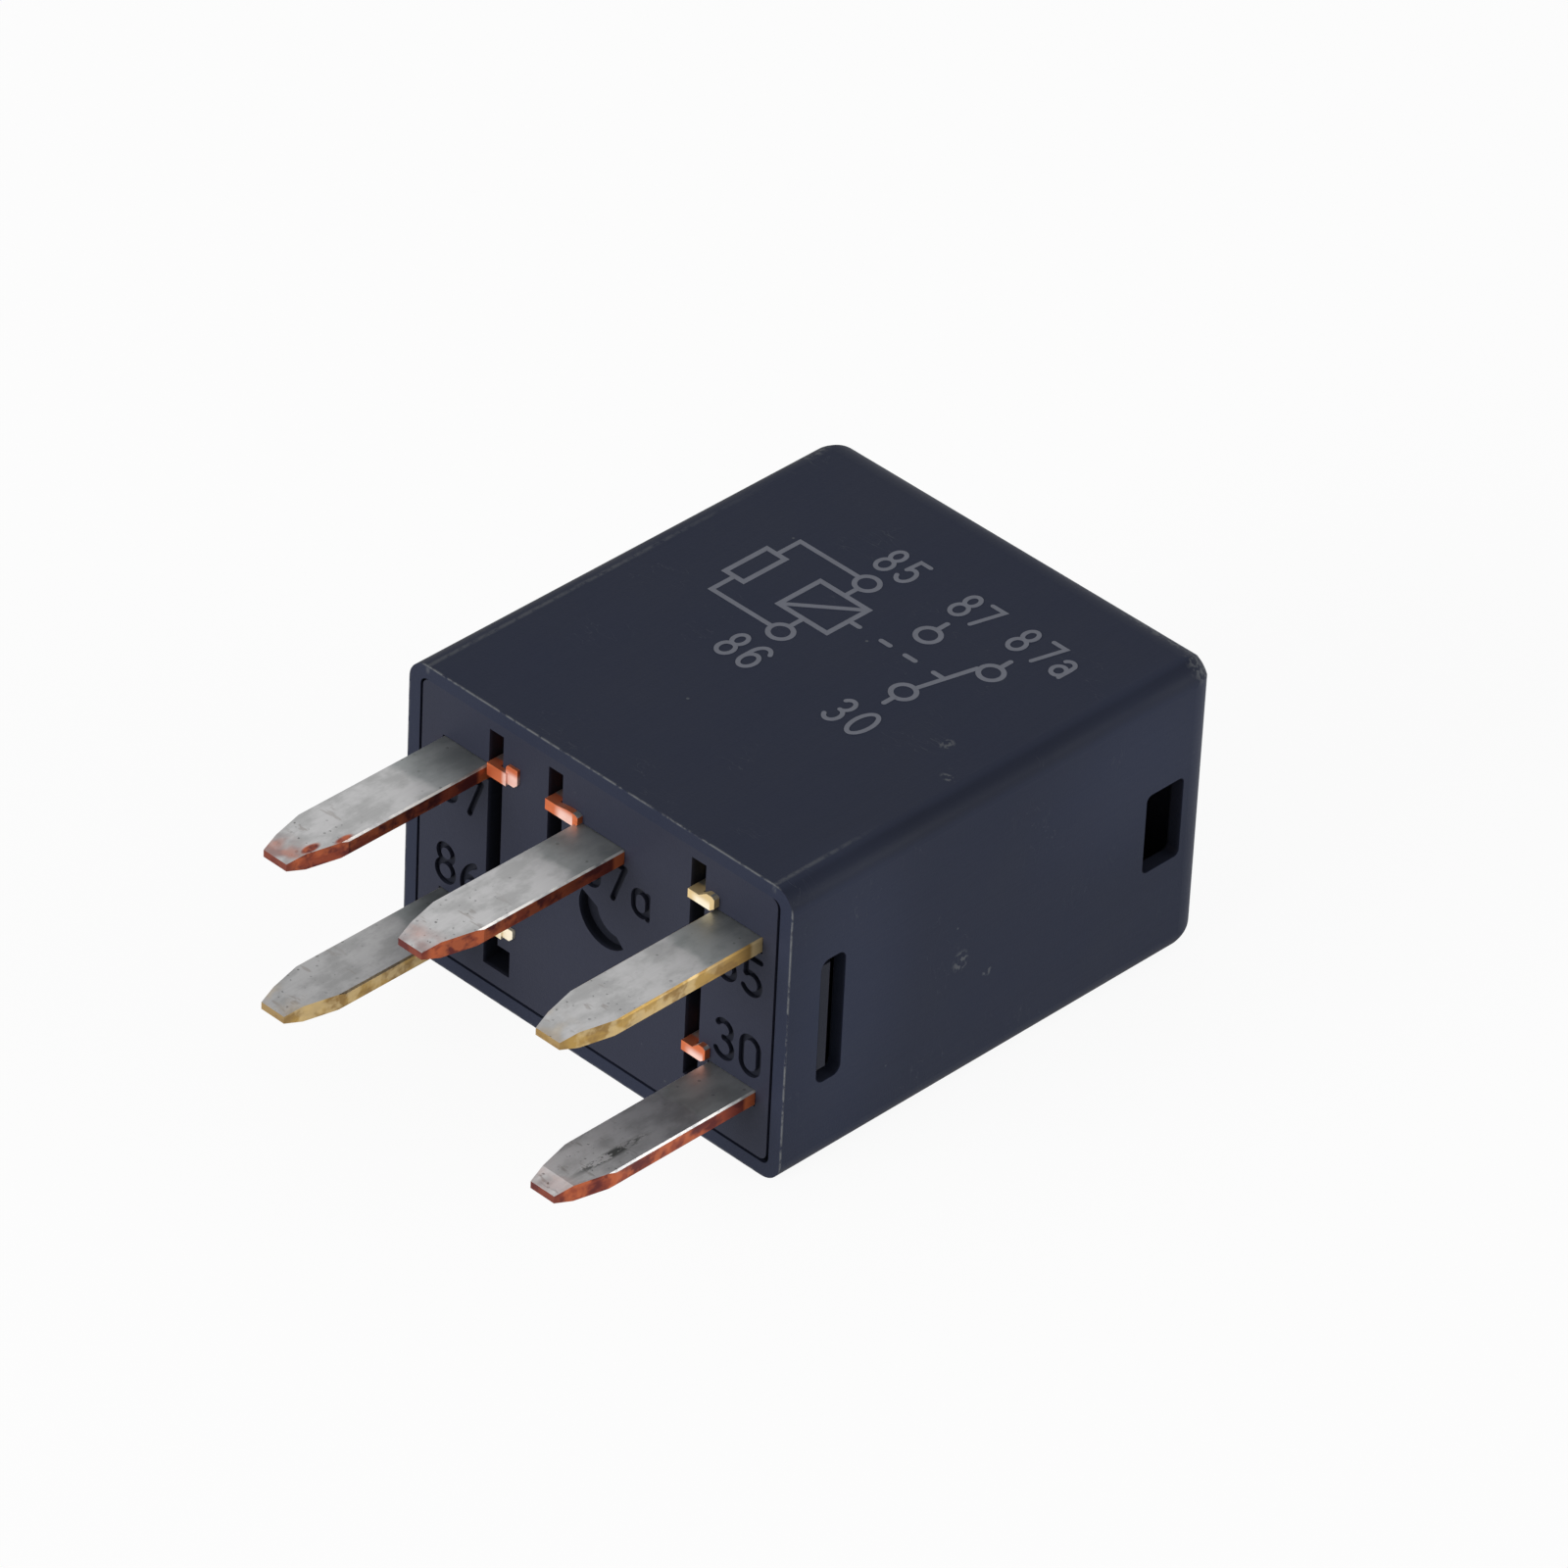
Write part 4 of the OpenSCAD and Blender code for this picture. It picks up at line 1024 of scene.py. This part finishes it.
@dataclass
class Magnet(Piece):
    """Yoke, core, bobbin, coil and the armature with its spring and contacts.

    Attributes:
        turns: Turns of wire in the outer layer.
        steps: Points along the outline for each turn.
        facets: Sides of the winding's outline.
        ridge: Height of a turn above the groove beside it, in mm.
        bore: Radius of the winding's bore as a share of its outer radius.
        bend: Points between which the leaf spring bends, in mm; not used.
        metals: Finishes of the metal pieces and the nodes that have them.
    """

    turns: int = 40
    steps: int = 4
    facets: int = 72
    ridge: float = 0.05
    bore: float = 0.582
    bend: tuple[Sequence[float], Sequence[float]] = ((9.8, 7.45, 7.6), (8.8, 8.75, 7.6))
    metals: tuple[tuple[SheetMetal, tuple[str, ...]], ...] = (
        (
            SheetMetal("plated_iron", (0.47, 0.47, 0.44), (0.34, 0.33, 0.28), 0.36),
            ("yoke", "core", "armature"),
        ),
        (
            SheetMetal("rivet_steel", (0.52, 0.52, 0.50), (0.36, 0.36, 0.34), 0.3, Axis.X),
            ("armature_rivets", "yoke_rivets"),
        ),
        (
            SheetMetal("contact_silver", (0.70, 0.69, 0.66), (0.42, 0.40, 0.37), 0.26, Axis.X, 0.6),
            ("moving_contact", "fixed_contact_open", "fixed_contact_closed"),
        ),
    )

    def dress_all(self) -> None:
        """Dresses the carried-over nodes and builds the winding and the spring."""
        for finish, nodes in self.metals:
            metal = finish.material()
            for node in nodes:
                self.dress(node, metal)
        self.dress("bobbin", BobbinPlastic().material())
        enamel = Enamel().material()
        for node in ("coil_start_lead", "coil_end_lead"):
            self.dress(node, enamel)
        self.build_winding(enamel)
        spring = SheetMetal("spring_copper", (0.62, 0.34, 0.17), (0.42, 0.20, 0.10), 0.3, Axis.X)
        self.build_spring(spring.material())

    def build_winding(self, material: bpy.types.Material) -> bpy.types.Object:
        """Builds the winding with a ridge for every turn of its outer layer.

        Args:
            material: The enamel.

        Returns:
            The winding.
        """
        low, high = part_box("coil_winding")
        radius = (high.x - low.x) / 2
        middle_x, middle_z = (low.x + high.x) / 2, (low.z + high.z) / 2
        length = high.y - low.y
        count = self.turns * self.steps
        outline = [(low.y, radius * self.bore)]
        for i in range(count + 1):
            groove = 0.5 + 0.5 * math.cos(2 * math.pi * i / self.steps)
            outline.append((low.y + length * i / count, radius - self.ridge * MM * groove))
        outline.append((high.y, radius * self.bore))
        bm = bmesh.new()
        rings = []
        for k in range(self.facets):
            angle = 2 * math.pi * k / self.facets
            across, up = math.cos(angle), math.sin(angle)
            rings.append([bm.verts.new((middle_x + r * across, y, middle_z + r * up)) for y, r in outline])
        for k, ring in enumerate(rings):
            after = rings[(k + 1) % self.facets]
            for i in range(len(outline)):
                j = (i + 1) % len(outline)
                bm.faces.new((ring[i], ring[j], after[j], after[i]))
        piece = self.new_object("coil_turns", bm, material, 50.0)
        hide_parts("coil_winding")
        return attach(piece, BODY)

    def build_spring(self, material: bpy.types.Material) -> bpy.types.Object:
        """Builds the leaf spring that bends from the yoke to the armature.

        Args:
            material: The spring's metal.

        Returns:
            The spring.
        """
        bm = bmesh.new()
        bm.from_mesh(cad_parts["contact_spring"].data)
        bmesh.ops.remove_doubles(bm, verts=bm.verts, dist=1e-7)
        piece = self.new_object("leaf_spring", bm, material, 30.0)
        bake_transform(piece)
        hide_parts("contact_spring")
        return piece


@dataclass
class Resistor(Piece):
    """The resistor across the coil."""

    def dress_all(self) -> None:
        """Dresses the body and its leads."""
        self.dress("resistor_body", BandedLacquer().material())
        wire = SheetMetal("tinned_wire", (0.58, 0.58, 0.56), (0.40, 0.40, 0.38), 0.28, Axis.X).material()
        for node in ("resistor_lead_85", "resistor_lead_86"):
            self.dress(node, wire)


class Glyphs:
    """Numerals and one letter as open or closed strokes, 1 high and WIDTH wide."""

    WIDTH = 0.43

    @classmethod
    def arc(cls, centre: Point, radii: Point, start: float, end: float, steps: int = 20) -> list[Point]:
        """Points on an arc of an ellipse.

        Args:
            centre: Its middle.
            radii: Half its width and half its height.
            start: First angle in degrees, counted from the right and anticlockwise.
            end: Last angle in degrees.
            steps: Number of pieces.

        Returns:
            The points, both ends among them.
        """
        angles = (math.radians(start + (end - start) * i / steps) for i in range(steps + 1))
        return [(centre[0] + radii[0] * math.cos(a), centre[1] + radii[1] * math.sin(a)) for a in angles]

    @classmethod
    def strokes(cls, sign: str) -> list[tuple[list[Point], bool]]:
        """The strokes of one sign, each with whether it is closed.

        Args:
            sign: The sign.

        Returns:
            Lines of points and whether each one closes.
        """
        w = cls.WIDTH
        table = {
            "0": [(cls.arc((w * 0.57, 0.5), (w * 0.57, 0.5), 90, 450, 36)[:-1], True)],
            "3": [
                (cls.arc((w / 2 - 0.02, 0.76), (w / 2 - 0.03, 0.24), 150, -95, 20), False),
                (cls.arc((w / 2 - 0.01, 0.26), (w / 2 - 0.01, 0.26), 95, -150, 20), False),
            ],
            "5": [
                ([(w * 0.94, 1.0), (w * 0.16, 1.0), (w * 0.09, 0.52)], False),
                (cls.arc((w / 2 - 0.01, 0.31), (w / 2, 0.31), 142, -152, 22), False),
            ],
            "6": [
                (cls.arc((w / 2, 0.30), (w / 2, 0.30), 90, 450, 32)[:-1], True),
                (cls.arc((w * 0.55, 0.62), (w * 0.55, 0.38), 35, 180, 16) + [(0.0, 0.30)], False),
            ],
            "7": [([(0.0, 1.0), (w, 1.0), (w * 0.38, 0.0)], False)],
            "8": [
                (cls.arc((w / 2, 0.76), (w * 0.41, 0.24), 90, 450, 28)[:-1], True),
                (cls.arc((w / 2, 0.26), (w / 2, 0.26), 90, 450, 32)[:-1], True),
            ],
            "a": [
                (cls.arc((w * 0.46, 0.21), (w * 0.44, 0.21), 90, 450, 26)[:-1], True),
                (
                    cls.arc((w * 0.49, 0.52), (w * 0.42, 0.20), 150, 20, 12)
                    + [(w * 0.92, 0.40), (w * 0.92, 0.0)],
                    False,
                ),
            ],
        }
        return table[sign]


@dataclass
class CircuitMarking(Piece):
    """The plain circuit diagram and terminal numbers printed on the cover's upper face.

    Its points are x and distance from the seating face, in mm.

    Attributes:
        top: Height of the face, in mm.
        stroke: Width of a line, in mm.
        thin: Width of a line in the terminal numbers, in mm.
        bold: Width of a line round the resistor and the coil, in mm.
        proud: How far the lowest stroke stands above the face, in mm.
        layer: How much higher each next stroke lies, in mm.
        depth: How far the ink reaches into the face, in mm.
        ring: Radius of the terminal circles to the middle of the line, in mm.
        ends: Pieces in a round line end.
        circles: Middles of the terminal circles.
        lines: The other strokes and whether each one is a closed frame.
        numbers: Signs with their left edges, then their foot and their height, in mm.
        laid: Strokes laid so far.
    """

    top: float = TOP
    stroke: float = 0.24
    thin: float = 0.21
    bold: float = 0.26
    proud: float = 0.008
    layer: float = 0.0004
    depth: float = 0.02
    ring: float = 0.55
    ends: int = 8
    circles: tuple[Point, ...] = ((-2.25, 18.20), (-2.21, 12.92), (2.16, 17.44), (5.88, 17.46), (4.37, 13.70))
    lines: tuple[tuple[tuple[Point, ...], bool], ...] = (
        (((-6.99, 14.34), (-5.88, 14.34), (-5.88, 16.86), (-6.99, 16.86)), True),
        (((-6.39, 16.98), (-6.39, 18.29), (-2.88, 18.29)), False),
        (((-6.42, 14.22), (-6.42, 12.94), (-2.84, 12.94)), False),
        (((-3.73, 14.32), (-0.82, 14.32), (-0.82, 16.85), (-3.73, 16.85)), True),
        (((-3.66, 14.40), (-0.88, 16.78)), False),
        (((-2.26, 17.56), (-2.26, 16.95)), False),
        (((-2.23, 13.56), (-2.23, 14.20)), False),
        (((-0.70, 15.66), (-0.20, 15.66)), False),
        (((1.11, 15.66), (1.62, 15.66)), False),
        (((2.54, 15.66), (3.12, 15.66)), False),
        (((4.23, 15.66), (4.78, 15.66)), False),
        (((4.55, 14.36), (5.26, 17.26)), False),
        (((2.14, 18.08), (2.14, 18.63)), False),
        (((5.88, 18.10), (5.88, 18.65)), False),
        (((4.37, 13.06), (4.37, 12.52)), False),
    )
    numbers: tuple[tuple[tuple[tuple[float, str], ...], float, float], ...] = (
        (((-3.13, "8"), (-1.90, "5")), 19.36, 1.69),
        (((1.35, "8"), (2.51, "7")), 19.34, 1.70),
        (((4.78, "8"), (6.13, "7"), (7.35, "a")), 19.36, 1.70),
        (((3.14, "3"), (4.41, "0")), 9.90, 1.73),
        (((-3.30, "8"), (-2.01, "6")), 9.90, 1.72),
    )
    laid: int = field(default=0, init=False)

    @staticmethod
    def band(line: Sequence[Point], closed: bool, width: float) -> list[tuple[Vector, Vector]]:
        """Left and right side of a stroke at each of its points.

        Args:
            line: Points of the stroke's middle.
            closed: Whether the last point joins the first.
            width: Width of the stroke.

        Returns:
            The two sides at each point.
        """
        points = [Vector(p) for p in line]
        count = len(points)
        sides = []
        for i, here in enumerate(points):
            before = points[i - 1] if closed or i else None
            after = points[(i + 1) % count] if closed or i < count - 1 else None
            into = (here - before).normalized() if before is not None else (after - here).normalized()
            away = (after - here).normalized() if after is not None else into
            across_in, across_out = Vector((-into.y, into.x)), Vector((-away.y, away.x))
            middle = (across_in + across_out).normalized()
            reach = width / 2 / max(0.35, middle.dot(across_in))
            sides.append((here + middle * reach, here - middle * reach))
        return sides

    def lay(self, bm: bmesh.types.BMesh, line: Sequence[Point], closed: bool, width: float) -> None:
        """Adds one stroke to the marking as a thin closed solid.

        Args:
            bm: The marking's mesh.
            line: Points of the stroke's middle.
            closed: Whether the last point joins the first.
            width: Width of the stroke.
        """
        left, right = ([pair[i] for pair in self.band(line, closed, width)] for i in range(2))
        self.laid += 1
        high = self.top + self.proud + self.layer * self.laid
        low = self.top - self.depth
        if closed:
            rings = [
                [bm.verts.new((p.x * MM, (p.y + SEATING) * MM, z * MM)) for p in loop]
                for loop, z in ((left, high), (right, high), (right, low), (left, low))
            ]
            for r, ring in enumerate(rings):
                self.join(bm, ring, rings[(r + 1) % len(rings)])
            return
        tail = self.cap(Vector(line[0]), left[0], width)
        head = self.cap(Vector(line[-1]), right[-1], width)
        outline = left[:1] + tail + right + head + left[:0:-1]
        tops = [bm.verts.new((p.x * MM, (p.y + SEATING) * MM, high * MM)) for p in outline]
        lows = [bm.verts.new((v.co.x, v.co.y, low * MM)) for v in tops]
        faces = [bm.faces.new(tops), bm.faces.new(lows[::-1])]
        self.join(bm, lows, tops)
        for face in faces:
            face.normal_update()
        bmesh.ops.triangulate(bm, faces=faces)

    @staticmethod
    def join(bm: bmesh.types.BMesh, first: Ring, second: Ring) -> None:
        """Joins two rings of points with a band of faces.

        Args:
            bm: The mesh.
            first: One ring.
            second: The other ring, point for point.
        """
        for i in range(len(first)):
            j = (i + 1) % len(first)
            bm.faces.new((first[i], first[j], second[j], second[i]))

    def cap(self, centre: Vector, corner: Vector, width: float) -> list[Vector]:
        """Points of a round end between two corners of a ribbon, without the corners.

        Args:
            centre: End of the stroke's middle.
            corner: Corner that the end starts from.
            width: Width of the stroke.

        Returns:
            The points between.
        """
        start = corner - centre
        spin = math.atan2(start.y, start.x)
        angles = (spin + math.pi * i / self.ends for i in range(1, self.ends))
        return [centre + Vector((math.cos(a), math.sin(a))) * (width / 2) for a in angles]

    def build(self) -> bpy.types.Object:
        """Builds the whole marking as one piece.

        Returns:
            The marking.
        """
        bm = bmesh.new()
        for middle in self.circles:
            self.lay(bm, Glyphs.arc(middle, (self.ring, self.ring), 0, 360, 40)[:-1], True, self.stroke)
        for line, closed in self.lines:
            self.lay(bm, line, closed, self.bold if closed else self.stroke)
        for signs, foot, height in self.numbers:
            for x, sign in signs:
                for line, closed in Glyphs.strokes(sign):
                    placed = [(x + u * height, foot + v * height) for u, v in line]
                    self.lay(bm, placed, closed, self.thin)
        piece = self.new_object("circuit_marking", bm, MarkingInk().material())
        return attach(piece, BODY)


# ------------------------------------------------------------------------------------------------ studio


@dataclass(frozen=True)
class Lamp:
    """A square soft lamp.

    Attributes:
        name: Its name.
        at: Where it hangs, in metres.
        side: Its side, in metres.
        power: Its power, in watts.
        tint: Its colour.
    """

    name: str
    at: Sequence[float]
    side: float
    power: float
    tint: Colour

    def hang(self, aim: Vector) -> None:
        """Hangs the lamp so that it faces a point.

        Args:
            aim: The point, in metres.
        """
        lamp = bpy.data.lights.new(self.name, "AREA")
        lamp.shape = "SQUARE"
        lamp.size = self.side
        lamp.energy = self.power
        lamp.color = self.tint
        holder = bpy.data.objects.new(self.name, lamp)
        holder.location = self.at
        holder.rotation_euler = (aim - Vector(self.at)).to_track_quat("-Z", "Y").to_euler()
        bpy.context.scene.collection.objects.link(holder)


@dataclass
class Studio:
    """Pale floor, white surroundings, soft lamps and the camera.

    Attributes:
        floor_side: Side of the floor, in metres.
        floor_drop: How far the floor lies below the object, in mm.
        paper: Lightness of the floor.
        glow: Share of plain white that the eye sees on the floor, from 0 to 1.
        ambient: Strength of the white surroundings on matt surfaces.
        azimuth: The camera's direction from +X towards -Y, in degrees.
        elevation: Its height above the floor, in degrees.
        roll: Its turn about its own axis, in degrees.
        camera_at: Where it stands, in metres.
        lens: Its focal length, in millimetres.
        sensor: Width of its sensor, in millimetres.
        aim: Point that the lamps face, in metres.
        lamps: The lamps.
    """

    floor_side: float = 3.0
    floor_drop: float = 0.02
    paper: float = 0.86
    glow: float = 0.92
    ambient: float = 0.5
    azimuth: float = 46.62
    elevation: float = 36.14
    roll: float = 2.84
    camera_at: Sequence[float] = (0.257509, -0.274242, 0.282986)
    lens: float = 249.76
    sensor: float = 36.0
    aim: Sequence[float] = (0.0, 0.0, 0.008)
    lamps: tuple[Lamp, ...] = (
        Lamp("front_lamp", (-0.15, -0.8, 0.22), 0.5, 7.0, (1.0, 0.98, 0.97)),
        Lamp("side_lamp", (0.7, 0.5, 0.15), 0.4, 4.0, (0.97, 0.98, 1.0)),
    )

    def light_world(self) -> None:
        """Makes the surroundings white to look at and softer as a light."""
        world = bpy.data.worlds.new("white_surroundings")
        bpy.context.scene.world = world
        world.use_nodes = True
        board = Board(world.node_tree)
        soft, bright = (
            board.add("ShaderNodeBackground", {}, {"Color": (1.0, 1.0, 1.0, 1.0), "Strength": strength})
            for strength in (self.ambient, 1.0)
        )
        mixed = board.add("ShaderNodeMixShader", {}, {0: board.seen(), 1: soft, 2: bright})
        board.add("ShaderNodeOutputWorld", {}, {"Surface": mixed})

    def build_floor(self) -> None:
        """Makes the floor, which looks white and still keeps a soft shadow."""
        bm = bmesh.new()
        bmesh.ops.create_grid(bm, x_segments=1, y_segments=1, size=self.floor_side / 2)
        mesh = bpy.data.meshes.new("floor")
        bm.to_mesh(mesh)
        bm.free()
        floor = bpy.data.objects.new("floor", mesh)
        floor.location.z = -self.floor_drop * MM
        bpy.context.scene.collection.objects.link(floor)
        material = bpy.data.materials.new("pale_paper")
        material.use_nodes = True
        board = Board(material.node_tree)
        paper = board.add("ShaderNodeBsdfDiffuse", {}, {"Color": (self.paper,) * 3 + (1.0,)})
        glow = board.add("ShaderNodeEmission", {}, {"Strength": 1.0})
        mixed = board.add("ShaderNodeMixShader", {}, {0: board.seen() * self.glow, 1: paper, 2: glow})
        board.add("ShaderNodeOutputMaterial", {}, {"Surface": mixed})
        mesh.materials.append(material)

    def set_camera(self) -> None:
        """Sets the camera."""
        az, el, roll = (math.radians(v) for v in (self.azimuth, self.elevation, self.roll))
        back = Vector((math.cos(el) * math.cos(az), -math.cos(el) * math.sin(az), math.sin(el)))
        right = (-back).cross(Vector((0.0, 0.0, 1.0))).normalized()
        up = right.cross(-back)
        side = math.cos(roll) * right + math.sin(roll) * up
        head = -math.sin(roll) * right + math.cos(roll) * up
        data = bpy.data.cameras.new("camera")
        data.sensor_width = self.sensor
        data.lens = self.lens
        data.clip_start = 0.01
        camera = bpy.data.objects.new("camera", data)
        turn = Matrix((side, head, back)).transposed().to_4x4()
        camera.matrix_world = Matrix.Translation(Vector(self.camera_at)) @ turn
        bpy.context.scene.collection.objects.link(camera)
        bpy.context.scene.camera = camera

    def build(self) -> None:
        """Sets up the whole studio."""
        self.set_camera()
        self.light_world()
        self.build_floor()
        for lamp in self.lamps:
            lamp.hang(Vector(self.aim))
        bpy.context.scene.view_settings.view_transform = "Standard"


def main() -> None:
    """Builds the studio and every sub-assembly in turn."""
    logging.basicConfig(level=logging.INFO, format="%(message)s")
    Studio().build()
    Housing().dress_all()
    Terminals().dress_all()
    Magnet().dress_all()
    Resistor().dress_all()
    CircuitMarking().build()


if __name__ == "__main__":
    main()
